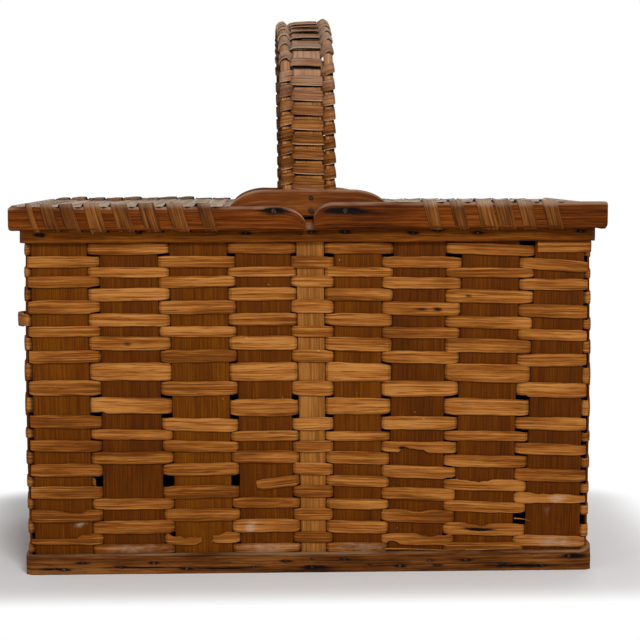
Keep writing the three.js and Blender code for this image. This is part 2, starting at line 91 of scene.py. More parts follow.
# The studio: a white surround, a pale floor that keeps the basket's shadow, and soft lamps,
# the broadest of them above the front.
class Flow:
    """A value that runs out of a node. Sums on it add Math nodes, or Vector Math nodes for vectors."""

    def __init__(self, tree, socket):
        self.tree = tree
        self.socket = socket

    def is_vector(self):
        return self.socket.type == "VECTOR"

    def sum(self, operation, *terms):
        vectors = any(isinstance(term, Flow) and term.is_vector() for term in terms)
        kind = "ShaderNodeVectorMath" if vectors else "ShaderNodeMath"
        return self.tree.add(kind, {"operation": operation}, dict(enumerate(terms)))

    def __add__(self, other):
        return self.sum("ADD", self, other)

    def __radd__(self, other):
        return self.sum("ADD", other, self)

    def __sub__(self, other):
        return self.sum("SUBTRACT", self, other)

    def __rsub__(self, other):
        return self.sum("SUBTRACT", other, self)

    def __mul__(self, other):
        if self.is_vector() and not isinstance(other, tuple):
            return self.tree.add("ShaderNodeVectorMath", {"operation": "SCALE"}, {0: self, "Scale": other})
        return self.sum("MULTIPLY", self, other)

    def __rmul__(self, other):
        return self.sum("MULTIPLY", other, self)

    def __truediv__(self, other):
        return self.sum("DIVIDE", self, other)

    def __abs__(self):
        return self.sum("ABSOLUTE", self)

    def above(self, other):
        return self.sum("GREATER_THAN", self, other)

    def most(self, other):
        return self.sum("MAXIMUM", self, other)

    def part(self, index):
        return self.tree.add("ShaderNodeSeparateXYZ", {}, {0: self}, output=index)

    def rising(self, low, high):
        """0 below low, 1 above high, and smooth between them."""
        inputs = {"Value": self, "From Min": low, "From Max": high}
        return self.tree.add("ShaderNodeMapRange", {"interpolation_type": "SMOOTHSTEP"}, inputs)


class Tree:
    """A node tree that is being made."""

    def __init__(self, tree):
        self.tree = tree
        tree.nodes.clear()

    def add(self, kind, settings=(), inputs=(), output=0):
        node = self.tree.nodes.new(kind)
        for name, value in dict(settings).items():
            if name == "stops":
                self.set_stops(node.color_ramp, value)
            else:
                setattr(node, name, value)
        for key, value in dict(inputs).items():
            if isinstance(value, Flow):
                self.tree.links.new(value.socket, node.inputs[key])
            else:
                node.inputs[key].default_value = value
        return Flow(self, node.outputs[output]) if node.outputs else node

    def set_stops(self, ramp, stops):
        while len(ramp.elements) < len(stops):
            ramp.elements.new(1.0)
        for element, (place, shade) in zip(ramp.elements, stops):
            element.position = place
            element.color = shade

    def mix(self, factor, first, second):
        inputs = {0: factor, 6: first, 7: second}
        return self.add("ShaderNodeMix", {"data_type": "RGBA"}, inputs, output=2)

    def vector(self, x, y, z):
        return self.add("ShaderNodeCombineXYZ", {}, {0: x, 1: y, 2: z})

    def noise(self, place, detail=2.0, roughness=0.5):
        inputs = {"Vector": place, "Scale": 1.0, "Detail": detail, "Roughness": roughness}
        return self.add("ShaderNodeTexNoise", {}, inputs)


def colour(code):
    """A colour written as six hex digits, made linear for the shaders."""
    parts = [int(code[i:i + 2], 16) / 255 for i in (0, 2, 4)]
    linear = [p / 12.92 if p <= 0.04045 else ((p + 0.055) / 1.055) ** 2.4 for p in parts]
    return (*linear, 1.0)


def new_material(name):
    """An empty material, and its tree."""
    material = bpy.data.materials.new(name)
    material.use_nodes = True
    return material, Tree(material.node_tree)


WHITE = (1.0, 1.0, 1.0, 1.0)
ROOM_LIGHT = 0.3
FLOOR_SIZE = 12.0
FLOOR_SHADE = (0.9, 0.9, 0.9, 1.0)
FLOOR_FADE = 0.09  # metres from the basket's walls over which the floor goes to plain white
LAMP_TARGET = (0.0, 0.0, 0.2)
LAMPS = {
    # name: place, side of its square, watts
    "key_lamp": ((0.35, -1.9, 1.3), 0.6, 30.0),
    "fill_lamp": ((-1.4, -1.4, 0.6), 1.2, 4.0),
    "back_lamp": ((0.4, 1.6, 1.5), 1.2, 10.0),
}

world = bpy.data.worlds.new("studio")
world.use_nodes = True
bpy.context.scene.world = world
studio = Tree(world.node_tree)
ray = {name: studio.add("ShaderNodeLightPath", output=name)
       for name in ("Is Camera Ray", "Is Glossy Ray", "Is Transmission Ray")}
seen = ray["Is Camera Ray"].most(ray["Is Glossy Ray"]).most(ray["Is Transmission Ray"])
lighting = studio.add("ShaderNodeBackground", {}, {"Color": WHITE, "Strength": ROOM_LIGHT})
backdrop = studio.add("ShaderNodeBackground", {}, {"Color": WHITE, "Strength": 1.0})
surround = studio.add("ShaderNodeMixShader", {}, {0: seen, 1: lighting, 2: backdrop})
studio.add("ShaderNodeOutputWorld", {}, {"Surface": surround})

for lamp_name, (place, side, watts) in LAMPS.items():
    lamp = placed(lamp_name, bpy.data.lights.new(lamp_name, "AREA"))
    lamp.data.size = side
    lamp.data.energy = watts
    lamp.location = place
    lamp.rotation_euler = (Vector(LAMP_TARGET) - Vector(place)).to_track_quat("-Z", "Y").to_euler()

floor_mesh = bpy.data.meshes.new("floor")
floor_edge = FLOOR_SIZE / 2
floor_corners = [(x * floor_edge, y * floor_edge, 0) for x, y in ((-1, -1), (1, -1), (1, 1), (-1, 1))]
floor_mesh.from_pydata(floor_corners, [], [(0, 1, 2, 3)])
floor = placed("floor", floor_mesh)
floor_paint, paint = new_material("pale floor")
floor_place = paint.add("ShaderNodeTexCoord", output="Object")
beside = (abs(floor_place.part(0)) - cad_box[1].x).most(0.0)
before = (abs(floor_place.part(1)) - cad_box[1].y).most(0.0)
far = (beside * beside + before * before).rising(0.0, FLOOR_FADE ** 2)
camera_ray = paint.add("ShaderNodeLightPath", output="Is Camera Ray")
matt = paint.add("ShaderNodeBsdfDiffuse", {}, {"Color": FLOOR_SHADE})
plain_white = paint.add("ShaderNodeEmission", {}, {"Color": WHITE, "Strength": 1.0})
faded = paint.add("ShaderNodeMixShader", {}, {0: camera_ray * far, 1: matt, 2: plain_white})
paint.add("ShaderNodeOutputMaterial", {}, {"Surface": faded})
floor_mesh.materials.append(floor_paint)


# Front stakes: eight wide splints of split wood, dark with age, that run down the front wall, under the
# base and up the back wall. Each is one flat strip, bent by hand at the two lower edges.
MM = 0.001
FIT = 0.3 * MM  # the room between two splints that cross
STAKE_THICKNESS = 1.6 * MM
HOOP_THICKNESS = 2.0 * MM
BASE_MIDDLE = 2.95 * MM  # middle of the woven base above the ground
DIVE_MARGIN = 0.7 * MM  # a splint stays flat this far past the edge of the one it crosses
BASE_INSET = 4 * MM  # and turns up no nearer to the wall than this
BEND_HEIGHT = 8 * MM  # above the ground, where a stake begins to turn under the basket
POINT_SPACING = 4 * MM  # along the stakes and bands
SHARP_BEND = 0.6  # edges that bend by more radians than this stay crisp
UP = np.array((0.0, 0.0, 1.0))
ALONG_X = (1.0, 0.0, 0.0)
# Dark brown for grime and for painted shade: on splints' lower edges, where they dive in the weave, and on
# their unseen faces
GRIME_AND_SHADE = "150802"  # in the weave
# Near black, for rust round iron and in knots and splits, and for painted shadow in gaps and under edges
RUST_AND_SHADOW = "0b0604"  # round iron, in knots and in splits
DUST = "b8a08a"
STRIP_VALUES = ("upper", "lower", "stout", "tone", "depth", "along")  # numbers that change along a strip


def unit(vectors):
    return vectors / np.linalg.norm(vectors, axis=-1, keepdims=True)


def rounded(points, rounds=3):
    """An open line whose corners are cut again and again until it bends smoothly."""
    points = np.asarray(points, float)
    for _ in range(rounds):
        near = 0.75 * points[:-1] + 0.25 * points[1:]
        far = 0.25 * points[:-1] + 0.75 * points[1:]
        cut = np.stack((near, far), axis=1).reshape(-1, points.shape[1])
        points = np.concatenate((points[:1], cut[1:-1], points[-1:]))
    return points


def lengths_along(points):
    return np.concatenate(([0.0], np.cumsum(np.linalg.norm(np.diff(points, axis=0), axis=1))))


def evenly(points, spacing):
    """The same line with its points evenly spaced."""
    lengths = lengths_along(points)
    count = max(2, round(lengths[-1] / spacing) + 1)
    places = np.linspace(0.0, lengths[-1], count)
    return np.column_stack([np.interp(places, lengths, column) for column in points.T])


def wander(places, seed, rate):
    """Slow, repeatable ups and downs between about -1 and 1, one for each place along a strip."""
    return np.array([noise.noise((place * rate, seed * 1.7, seed * 0.31)) for place in places]) * 1.6


def strip(points, across, reach=1.0, **given):
    """A splint along a line: which way its width lies, how far it reaches, and what changes along it."""
    points = np.asarray(points, float)
    tangent = unit(np.gradient(points, axis=0))
    facing = unit(np.cross(tangent, np.broadcast_to(across, points.shape)))
    made = {"points": points, "across": np.cross(facing, tangent), "facing": facing}
    defaults = {"upper": reach, "lower": reach, "stout": 1.0, "tone": 0.0, "depth": 1.0}
    for name, value in {**defaults, **given}.items():
        made[name] = np.broadcast_to(np.asarray(value, float), len(points))
    made["along"] = lengths_along(points) + given.get("start", 0.0)
    return made


def new_group(name, **kinds):
    """A node tree that makes a mesh: the group, its tree, and its inputs, whose kinds are given."""
    group = bpy.data.node_groups.new(name, "GeometryNodeTree")
    inputs = {"Geometry": "Geometry", **kinds, "Material": "Material"}
    for socket, kind in inputs.items():
        group.interface.new_socket(socket, in_out="INPUT", socket_type="NodeSocket" + kind)
    group.interface.new_socket("Geometry", in_out="OUTPUT", socket_type="NodeSocketGeometry")
    tree = Tree(group)
    return group, tree, {socket: tree.add("NodeGroupInput", output=socket) for socket in inputs}


def make_splint_tree():
    """Sweeps a flat section along lines. Each point of a line says how far the section reaches there."""
    group, tree, given = new_group("splint", Width="Float", Thickness="Float", Corner="Float",
                                   Rounding="Int", Cuts="Int", Waviness="Float", Unevenness="Float",
                                   Cup="Float", Seed="Float")

    def stored(geometry, name, value, kind):
        inputs = {"Geometry": geometry, "Name": name, "Value": value}
        return tree.add("GeometryNodeStoreNamedAttribute", {"data_type": kind, "domain": "POINT"}, inputs)

    def named(name, kind="FLOAT"):
        return tree.add("GeometryNodeInputNamedAttribute", {"data_type": kind}, {"Name": name})

    position = tree.add("GeometryNodeInputPosition")
    line = tree.add("GeometryNodeMeshToCurve", {}, {"Mesh": given["Geometry"]})
    line = stored(line, "spine", position, "FLOAT_VECTOR")
    section = tree.add("GeometryNodeCurvePrimitiveQuadrilateral", {"mode": "RECTANGLE"},
                       {"Width": given["Width"], "Height": given["Thickness"]})
    section = tree.add("GeometryNodeSubdivideCurve", {}, {"Curve": section, "Cuts": given["Cuts"]})
    section = tree.add("GeometryNodeFilletCurve", {"mode": "POLY"},
                       {"Curve": section, "Count": given["Rounding"], "Radius": given["Corner"],
                        "Limit Radius": True})
    section = stored(section, "section", position, "FLOAT_VECTOR")
    skin = tree.add("GeometryNodeCurveToMesh", {},
                    {"Curve": line, "Profile Curve": section, "Fill Caps": True})

    sideways = named("section", "FLOAT_VECTOR").part(0)
    outwards = named("section", "FLOAT_VECTOR").part(1)
    along = named("along")
    share = sideways / (given["Width"] * 0.5)
    upper_side = sideways.above(0.0)
    reach = named("lower") + upper_side * (named("upper") - named("lower"))
    ripple_place = tree.vector(along * 70.0, upper_side * 9.0 + given["Seed"], 0.0)
    ripple = (tree.noise(ripple_place, 2.0) - 0.5) * given["Waviness"] * share * 2.0
    face_place = tree.vector(along * 45.0, sideways * 160.0, given["Seed"] + 30.0)
    face = (tree.noise(face_place, 1.0) - 0.5) * given["Unevenness"] * 2.0
    rise = outwards * named("stout") + face - share * share * given["Cup"]
    place = named("spine", "FLOAT_VECTOR") + named("across", "FLOAT_VECTOR") * (sideways * reach + ripple)
    place = place + named("facing", "FLOAT_VECTOR") * rise
    skin = tree.add("GeometryNodeSetPosition", {}, {"Geometry": skin, "Position": place})
    skin = stored(skin, "grain", tree.vector(along, sideways, outwards), "FLOAT_VECTOR")
    skin = stored(skin, "edge", abs(share), "FLOAT")
    skin = tree.add("GeometryNodeSetShadeSmooth", {}, {"Geometry": skin, "Shade Smooth": True})
    bend = tree.add("GeometryNodeInputMeshEdgeAngle", output="Unsigned Angle")
    skin = tree.add("GeometryNodeSetShadeSmooth", {"domain": "EDGE"},
                    {"Geometry": skin, "Selection": bend.above(SHARP_BEND), "Shade Smooth": False})
    skin = tree.add("GeometryNodeRealizeInstances", {}, {"Geometry": skin})
    skin = tree.add("GeometryNodeSetMaterial", {}, {"Geometry": skin, "Material": given["Material"]})
    tree.add("NodeGroupOutput", {}, {"Geometry": skin})
    return group


splint_tree = make_splint_tree()


def run_tree(piece, group, sizes):
    """Gives a piece the mesh that a node tree makes of it."""
    modifier = piece.modifiers.new(group.name, "NODES")
    modifier.node_group = group
    for item in group.interface.items_tree:
        if item.in_out == "INPUT" and item.name in sizes:
            modifier[item.identifier] = sizes[item.name]
    depsgraph = bpy.context.evaluated_depsgraph_get()
    made = bpy.data.meshes.new_from_object(piece.evaluated_get(depsgraph), preserve_all_data_layers=True,
                                           depsgraph=depsgraph)
    piece.modifiers.remove(modifier)
    bare = piece.data
    piece.data = made
    bpy.data.meshes.remove(bare)


def turn_outwards(piece):
    """Turns all the faces of a piece round if they point inwards."""
    shape = bmesh.new()
    shape.from_mesh(piece.data)
    if shape.calc_volume(signed=True) < 0:
        bmesh.ops.reverse_faces(shape, faces=shape.faces)
        shape.to_mesh(piece.data)
    shape.free()


def splints(name, strips, finish, width, thickness, corner, **sizes):
    """One piece made of splints: the lines of its strips, swept by the splint tree."""
    counts = np.cumsum([0] + [len(one["points"]) for one in strips])
    edges = [(i, i + 1) for start, end in zip(counts[:-1], counts[1:]) for i in range(start, end - 1)]
    line = bpy.data.meshes.new(name)
    line.from_pydata(np.concatenate([one["points"] for one in strips]).tolist(), edges, [])
    for key in ("across", "facing"):
        values = np.concatenate([one[key] for one in strips])
        line.attributes.new(key, "FLOAT_VECTOR", "POINT").data.foreach_set("vector", values.ravel())
    for key in STRIP_VALUES:
        values = np.concatenate([one[key] for one in strips])
        line.attributes.new(key, "FLOAT", "POINT").data.foreach_set("value", values)
    piece = placed(name, line)
    settings = {"Width": width, "Thickness": thickness, "Corner": corner, "Rounding": 1, "Cuts": 2,
                "Waviness": 0.0, "Unevenness": 0.0, "Cup": 0.0, "Seed": 0.0, "Material": finish}
    run_tree(piece, splint_tree, {**settings, **sizes})
    turn_outwards(piece)
    return piece


def dress(piece, body, slot, *nodes):
    """The piece moves with its body and stands for those nodes. The slot is not used."""
    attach(piece, body)
    if nodes:
        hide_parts(*nodes)
    return piece


# How often each pattern of the wood repeats in a metre, along a splint and across it
FIBRE_RATE = (14.0, 700.0)
HAIR_RATE = (60.0, 2300.0)
PATCH_RATE = (15.0, 60.0)
FLECK_RATE = (40.0, 1250.0)
CHIP_RATE = (230.0, 420.0)
BLOTCH_RATE = (160.0, 500.0)


def wood(name, pale, middle, dark, streaks=1.0, fibre_width=1.0, patchy=1.0, dirt_and_shade=0.6, inner_shade=0.0,
         greyed=None, wear_and_highlight=None):
    """Split wood: fibres along the splint, broad changes of tone, grime and painted shade at the edges,
    painted shade in the weave.
    inner paints shade on the unseen face; greyed is a colour and two heights; worn is a pale colour for upper
    edges, for wear and a painted highlight, the share of the half width that it begins at, and its strength."""
    material, tree = new_material(name)
    grain = tree.add("ShaderNodeAttribute", {"attribute_name": "grain"}, output="Vector")
    read = {key: tree.add("ShaderNodeAttribute", {"attribute_name": key}, output="Fac")
            for key in ("edge", "tone", "depth", "stain")}
    sideways = grain.part(1)

    def pattern(rate, detail, roughness, width=1.0):
        along, across = rate
        return tree.noise(grain * (along, across / width, across), detail, roughness)

    fibres = pattern(FIBRE_RATE, 5.0, 0.68, fibre_width)
    hairs = pattern(HAIR_RATE, 2.0, 0.6, fibre_width)
    patches = pattern(PATCH_RATE, 3.0, 0.55)
    flecks = pattern(FLECK_RATE, 2.0, 0.5)
    chips = pattern(CHIP_RATE, 1.0, 0.5)
    level = 0.5 + (fibres - 0.5) * (2.1 * streaks) + (hairs - 0.5) * (0.9 * streaks)
    level = level + (patches - 0.5) * patchy + read["tone"]
    stops = [(0.06, colour(dark)), (0.5, colour(middle)), (0.94, colour(pale))]
    shade = tree.add("ShaderNodeValToRGB", {"stops": stops}, {0: level})
    if greyed:
        grey, low, high = greyed
        height = tree.add("ShaderNodeTexCoord", output="Object").part(2)
        faded = height.rising(low, high) * (0.3 + patches.rising(0.35, 0.65) * 0.5)
        shade = tree.mix(faded, shade, colour(grey))
    shade = tree.mix(flecks.rising(0.58, 0.68) * (0.7 * streaks), shade, colour(dark))
    shade = tree.mix(chips.rising(0.8, 0.84) * 0.7, shade, colour(DUST))
    # Pale upper edges: wear, and a painted highlight where an edge catches the light
    if wear_and_highlight:
        pale_edge, begin, strength = wear_and_highlight
        rubbed_and_lit = sideways.above(0.0) * read["edge"].rising(begin, begin + 0.2) * patches.rising(0.3, 0.55)
        shade = tree.mix(rubbed_and_lit * strength, shade, colour(pale_edge))
    # Painted shade with a little grime: lower edges darkened as the shadow line under a splint, darker where
    # a splint dives behind another (rounded off at its corners), and a darker unseen face
    lower_side = 1.0 - sideways.above(0.0)
    shade_and_dirt_mask = read["edge"].rising(0.8, 1.0) * (0.05 + lower_side * 0.42) * dirt_and_shade
    corner = read["edge"] * read["edge"] * read["edge"]
    shade_and_dirt_mask = shade_and_dirt_mask.most((1.0 - (read["depth"] - corner * 0.4).rising(-1.0, 0.1)) * dirt_and_shade)
    shade_and_dirt_mask = shade_and_dirt_mask.most((1.0 - grain.part(2).rising(-0.4 * MM, 0.4 * MM)) * inner_shade)
    shade = tree.mix(shade_and_dirt_mask, shade, colour(GRIME_AND_SHADE))
    blotch = pattern(BLOTCH_RATE, 2.0, 0.6)
    # Rust and stains, and painted shadow where a piece is marked dark for a gap or under an edge; pale dust
    # where it is marked below 0
    shade = tree.mix((read["stain"] * (0.5 + blotch)).rising(0.12, 0.6), shade, colour(RUST_AND_SHADOW))
    shade = tree.mix((read["stain"] * (blotch * -1.0)).rising(0.1, 0.6) * 0.6, shade, colour(DUST))
    relief = fibres * 0.7 + hairs * 0.3
    bump = tree.add("ShaderNodeBump", {}, {"Strength": 0.6, "Distance": 0.35 * MM, "Height": relief})
    shine = 0.62 + (patches - 0.5) * 0.25 + (0.5 - fibres) * 0.2
    surface = tree.add("ShaderNodeBsdfPrincipled", {}, {"Base Color": shade, "Roughness": shine,
                                                        "Normal": bump, "Specular IOR Level": 0.05})
    tree.add("ShaderNodeOutputMaterial", {}, {"Surface": surface})
    return material


def stain(piece, spots, edges=()):
    """Marks a piece: each spot has a place, a half length, a half height, and 1 for rust and for painted
    shadow, -1 for dust.
    Each edge has a place, the way that it looks, and how far the painted shadow under it falls that way."""
    points = np.empty(len(piece.data.vertices) * 3)
    piece.data.vertices.foreach_get("co", points)
    points = points.reshape(-1, 3)
    amount = np.zeros(len(points))
    for place, long, high, strength in spots:
        gap = (points - np.array(place)) / np.array((long, 2 * long, high))
        spot = strength * np.exp(-(gap ** 2).sum(axis=1))
        amount = np.where(np.abs(spot) > np.abs(amount), spot, amount)
    for place, way, fall in edges:
        gap = (points - place) @ way / fall
        near = np.linalg.norm((points - place)[:, 1:], axis=1) < 4 * fall
        amount = np.maximum(amount, np.where(near & (gap > -1.0), np.exp(-np.maximum(gap, 0.0) ** 2), 0.0))
    piece.data.attributes.new("stain", "FLOAT", "POINT").data.foreach_set("value", amount)


def mark(face, x, z, long, high, strength):
    """A dark or pale spot on an upright face (rust, cracks, dust, and painted shadow below the ear), with its
    place and its sizes in millimetres.
    """
    return (x * MM, face, z * MM), long * MM, high * MM, strength


def middle_and_size(node):
    low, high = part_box(node)
    return (low + high) / 2, high - low


front_names = [f"front_stake_{number}" for number in range(1, 9)]
end_names = [f"end_stake_{number}" for number in range(1, 6)]
front_row = [middle_and_size(name) for name in front_names]
end_row = [middle_and_size(name) for name in end_names]
hoop_middle, hoop_size = middle_and_size("handle_hoop")
wall_x = end_row[0][1].x / 2 - STAKE_THICKNESS / 2  # middle of the stakes, from the middle of the basket
wall_y = front_row[0][1].y / 2 - STAKE_THICKNESS / 2
stake_top = front_row[0][0].z + front_row[0][1].z / 2

# Each stake is a place along its wall, a width and a thickness. The hoop stands among the front ones
HOOP_ORDER = 4  # the hoop's place among them, counted from 0
front_stakes = [(middle.x, size.x, STAKE_THICKNESS) for middle, size in front_row]
front_stakes.insert(HOOP_ORDER, (hoop_middle.x, hoop_size.x, HOOP_THICKNESS))
end_stakes = [(middle.y, size.y, STAKE_THICKNESS) for middle, size in end_row]
# The front stakes don't stand quite upright: how far the left and the right edge of each leans along
# the wall, first at the ground and then at the rim
LEAN = [
    ((0.0, 0.0), (-0.4, -2.5)),
    ((0.3, -0.4), (1.4, -2.8)),
    ((2.5, -1.0), (2.5, -0.8)),
    ((3.4, -0.2), (1.8, -0.2)),
    ((3.8, 0.4), (2.1, 0.7)),
    ((0.5, 1.5), (0.0, 1.0)),
    ((-2.3, 2.5), (0.1, 2.2)),
    ((-2.6, 3.6), (-1.6, 3.2)),
    ((-3.5, 4.0), (-1.6, 0.0)),
]


def stake_at(order, heights):
    """The middle and the width of a front stake at each height."""
    place, width, _ = front_stakes[order]
    share = np.clip(np.asarray(heights) / stake_top, 0.0, 1.0)
    left, right = [(low + (high - low) * share) * MM for low, high in LEAN[order]]
    return place + (left + right) / 2, width + right - left


def stakes_at(height):
    """All the front stakes at one height: place along the wall, width and thickness."""
    return [(*stake_at(order, height), stake[2]) for order, stake in enumerate(front_stakes)]


def base_run(order, thickness, crossed, wall):
    """The line of a stake under the basket: over and under the stakes that it crosses."""
    lift = (thickness + FIT) / 2
    line = [(-wall, BASE_MIDDLE + (lift if order % 2 == 0 else -lift))]
    for number, (place, width, _) in enumerate(crossed):
        height = BASE_MIDDLE + (lift if (order + number) % 2 == 0 else -lift)
        half = width / 2 + DIVE_MARGIN
        line.append((max(place - half, -wall + BASE_INSET), height))
        line.append((min(place + half, wall - BASE_INSET), height))
    line.append((wall, line[-1][1]))
    return line


def stake_line(order, crossed, wall):
    """The line of a whole stake: down one wall, under the basket and up the other wall."""
    run = base_run(order, STAKE_THICKNESS, crossed, wall)
    heights = (stake_top, stake_top / 2, BEND_HEIGHT)
    line = [*((-wall, height) for height in heights), *run, *((wall, height) for height in heights[::-1])]
    return evenly(rounded(line), POINT_SPACING)


def stake_tone(number, wall_seed, places, seed):
    """How much paler than the rest a stake is, and how that changes along it."""
    return 0.12 * wander([number], wall_seed, 2.37)[0] + 0.08 * wander(places, seed, 5.0)


STAKE_CORNER = 0.35 * MM
STAKE_GRAIN = 1.3  # the grain of each stake begins this far along from that of the last
STAKE_ROUGHNESS = {"Cuts": 4, "Waviness": 0.5 * MM, "Unevenness": 0.25 * MM}
# Pale scuffs on the front of two stakes, by number: place, height, half length, half height, strength
STAKE_SCUFFS = {1: (-162.4, 36.4, 1.8, 2.8, -1.6), 8: (169.5, 43.2, 3.0, 6.0, -0.55)}
stake_wood = wood("dark stake splint", "774302", "5a2a00", "361500", streaks=0.68, fibre_width=0.5,
                  patchy=0.6, dirt_and_shade=0.4, inner_shade=0.3)

for number, (name, (middle, size)) in enumerate(zip(front_names, front_row)):
    order = number if number < HOOP_ORDER else number + 1
    flat = stake_line(order, end_stakes, wall_y)
    across, widths = stake_at(order, flat[:, 1])
    points = np.column_stack((across, flat))
    tone = stake_tone(number, 3.0, lengths_along(flat), number)
    run = strip(points, ALONG_X, widths / size.x, tone=tone, start=STAKE_GRAIN * number)
    piece = splints(name, [run], stake_wood, size.x, STAKE_THICKNESS, STAKE_CORNER, Seed=float(number),
                    **STAKE_ROUGHNESS)
    if number + 1 in STAKE_SCUFFS:
        stain(piece, [mark(-wall_y, *STAKE_SCUFFS[number + 1])])
    dress(piece, "basket", "stake_splint", name)


# End stakes: five like splints on each end wall, which cross the front ones under the basket.
# They are woven over and under those, and bent up in the same way. The end walls bow out a little.
END_BOW = 1.6 * MM
BOW_FADE = 5 * MM  # the bow begins over this length from the corners
BOW_REACH, BOW_EDGE = 4 * MM, 2 * MM  # it takes in what is this near to an end wall, and how sharply
END_SEED = 20  # keeps their grain apart from that of the front stakes
END_STAKE_SPREAD = 1.8 * MM  # the outermost stakes are this much wider towards the corners


def bowed(points):
    """The points with those on the end walls pushed out, most of all half way up."""
    inside = np.clip((wall_y - np.abs(points[:, 1])) / BOW_FADE, 0.0, 1.0)
    on_end = np.clip((np.abs(points[:, 0]) - wall_x + BOW_REACH) / BOW_EDGE, 0.0, 1.0)
    bow = END_BOW * np.sin(np.clip(points[:, 2] / stake_top, 0.0, 1.0) * math.pi) * inside * on_end
    moved = points.copy()
    moved[:, 0] += np.sign(points[:, 0]) * bow
    return moved


for number, (name, (middle, size)) in enumerate(zip(end_names, end_row)):
    flat = stake_line(number + 1, stakes_at(0.0), wall_x)
    points = np.column_stack((flat[:, 0], np.full(len(flat), middle.y), flat[:, 1]))
    seed = number + END_SEED
    tone = stake_tone(number, 5.0, lengths_along(flat), seed)
    wider = 1.0 + 2 * END_STAKE_SPREAD / size.y
    run = strip(bowed(points), (0.0, -1.0, 0.0), tone=tone, start=END_SEED + STAKE_GRAIN * number,
                upper=wider if name == end_names[0] else 1.0, lower=wider if name == end_names[-1] else 1.0)
    piece = splints(name, [run], stake_wood, size.y, STAKE_THICKNESS, STAKE_CORNER, Seed=float(seed),
                    **STAKE_ROUGHNESS)
    dress(piece, "basket", "stake_splint", name)


# Weavers: twenty-five flat splints, lighter than the stakes, each wound once round the basket over and
# under them. They were split by hand, so their edges waver; some are torn, and a few have lost a length.
WEAVER_COUNT = 25
WEAVER_THICKNESS = 1.2 * MM
WEAVER_CORNER = 0.3 * MM
WEAVER_BOW = 0.45 * MM  # how far a weaver bulges over the middle of a stake
# The way across a stake's edge, going in behind it: how far outside the edge, and on which side
DIVE = ((4.4 * MM, 1), (2.6 * MM, 1), (0.4 * MM, -1), (-1.6 * MM, -1))
# The way over a stake: how far outside its edge
RIDE = (1.2 * MM, -4.0 * MM)
CORNER_ROOM = 0.5 * MM  # the last bend on a wall keeps this far from the corner
WEAVER_SPREAD = 1.1  # a weaver is this much wider than its row, where it lies outside a stake
WEAVER_TAPER = 0.3  # how strongly it narrows towards the places where it dives between two stakes
BLUR_REACH = 6  # points over which that narrowing is spread along the weaver
DIVE_BLUR = np.exp(-(np.arange(-BLUR_REACH, BLUR_REACH + 1) / 2.0) ** 2)
WEAVER_OUT = 1.7 * MM  # how far out of its wall a weaver lies over a stake
WALL_REACH = 6 * MM  # a wall's weavers lie within this distance of it
CORNER_REACH = 30 * MM  # along an end wall, the part that belongs to the front corner
# Weavers that don't lie in the middle of their row: how far above it they are, and how wide
ROW_FIT = {1: (-0.4, 0.94), 2: (-1.2, 0.85), 4: (0.5, 1.0), 11: (0.7, 0.93), 12: (1.7, 0.87),
           13: (2.0, 0.81), 14: (2.6, 0.88), 15: (2.0, 1.0), 16: (0.9, 1.0)}
# Weavers that dip left of the middle of the front wall: by how far
ROW_DIP = {11: 1.3, 12: 1.6, 13: 2.5, 14: 4.0, 15: 3.0, 16: 1.8}
DIP_PLACE, DIP_SPREAD = -35.0, 90.0
# How far the rows run down towards the right front corner: rows, and millimetres
SAG_ROWS, SAG = (1, 4, 6, 15, 19, 21, 24, 25), (0.5, 3.4, 4.7, 5.2, 8.0, 7.3, 5.4, 1.8)
# Weavers that run down at the right: where that begins, over what length, and how far
TILT = {1: (100, 55, 2.0), 2: (150, 50, 3.4)}
# Lengths lost from the front wall, by weaver: from, to, and how far the two torn ends hang down
LOST = {
    19: [(-152, -38, 0.0, 3.6)],
    22: [(147, 230, 0.0, 0.0)],
    24: [(-77, -70, 0.6, -0.6)],
}
# Torn edges on the front wall, by weaver: middle, half length, depth as a share of the half width, side
TORN = {
    4: [(-149, 6, 0.18, -1)],
    6: [(-149, 6, 0.3, -1)],
    12: [(151, 6, 0.2, -1)],
    13: [(-150, 6, 0.2, -1)],
    18: [(101, 5, 0.25, -1)],
    16: [(71, 7, 0.95, -1), (80, 4, 0.6, -1)],
    19: [(121, 9, 0.55, 1), (110, 3, 0.3, 1)],
    20: [(178, 26, 0.45, 1), (178, 26, 0.3, -1)],
    22: [(-170, 11, 0.5, 1), (78, 8, 0.35, 1)],
    23: [(120, 9, 0.4, 1)],
    24: [(-188, 25, 2.3, 1), (-160, 5, 0.4, 1), (-88, 13, 0.85, 1), (-66, 6, 0.5, 1), (88, 12, 0.5, 1),
         (60, 5, 0.6, -1)],
}
# Knots and splits (above 0) and pale dust (below 0) on the front wall, by weaver: place, half length,
# half height, strength
MARKS = {
    5: [(113, 3.5, 0.8, 0.6)],
    6: [(80, 7, 0.5, 0.6), (91, 4, 0.9, 0.65)],
    9: [(-129, 4, 1.8, 0.5)],
    11: [(111, 7, 0.6, 0.6)],
    16: [(66, 5, 0.8, 1)],
    20: [(178, 8, 3.0, -1)],
    23: [(121, 13, 1.0, 1), (-42, 5, 5.0, -1)],
    24: [(176, 22, 5.0, -0.7)],
    25: [(-30, 27, 5.0, -0.62), (-125, 30, 5.0, -0.62), (36, 25, 5.0, -0.62)],
}
# Loose fibres on the front wall, by weaver: from and to, as places along the wall and heights
FIBRES = {22: [(146.7, 37.7, 158.3, 36.1)], 24: [(54, 16.5, 98, 15.0)], 25: [(112, 15.2, 150, 16.4)]}
FIBRE_POINTS = 12
FIBRE_OUT, FIBRE_RISE = 3.0, 1.2  # millimetres that they begin in front of the stakes, and then come away
FIBRE_WIDTH, FIBRE_TAPER = 0.11, 0.08  # as a share of the weaver's width, and how much of it is lost
# The end of one weaver laps over its beginning, round the right front corner
LAPPED = 1
LAP_LINE = [(162.5, -wall_y / MM - 2.0), (188, -wall_y / MM - 2.0), (wall_x / MM + 2.8, -wall_y / MM - 1.6),
            (wall_x / MM + 3.2, -wall_y / MM + 14), (wall_x / MM + 3.0, -wall_y / MM + 34)]
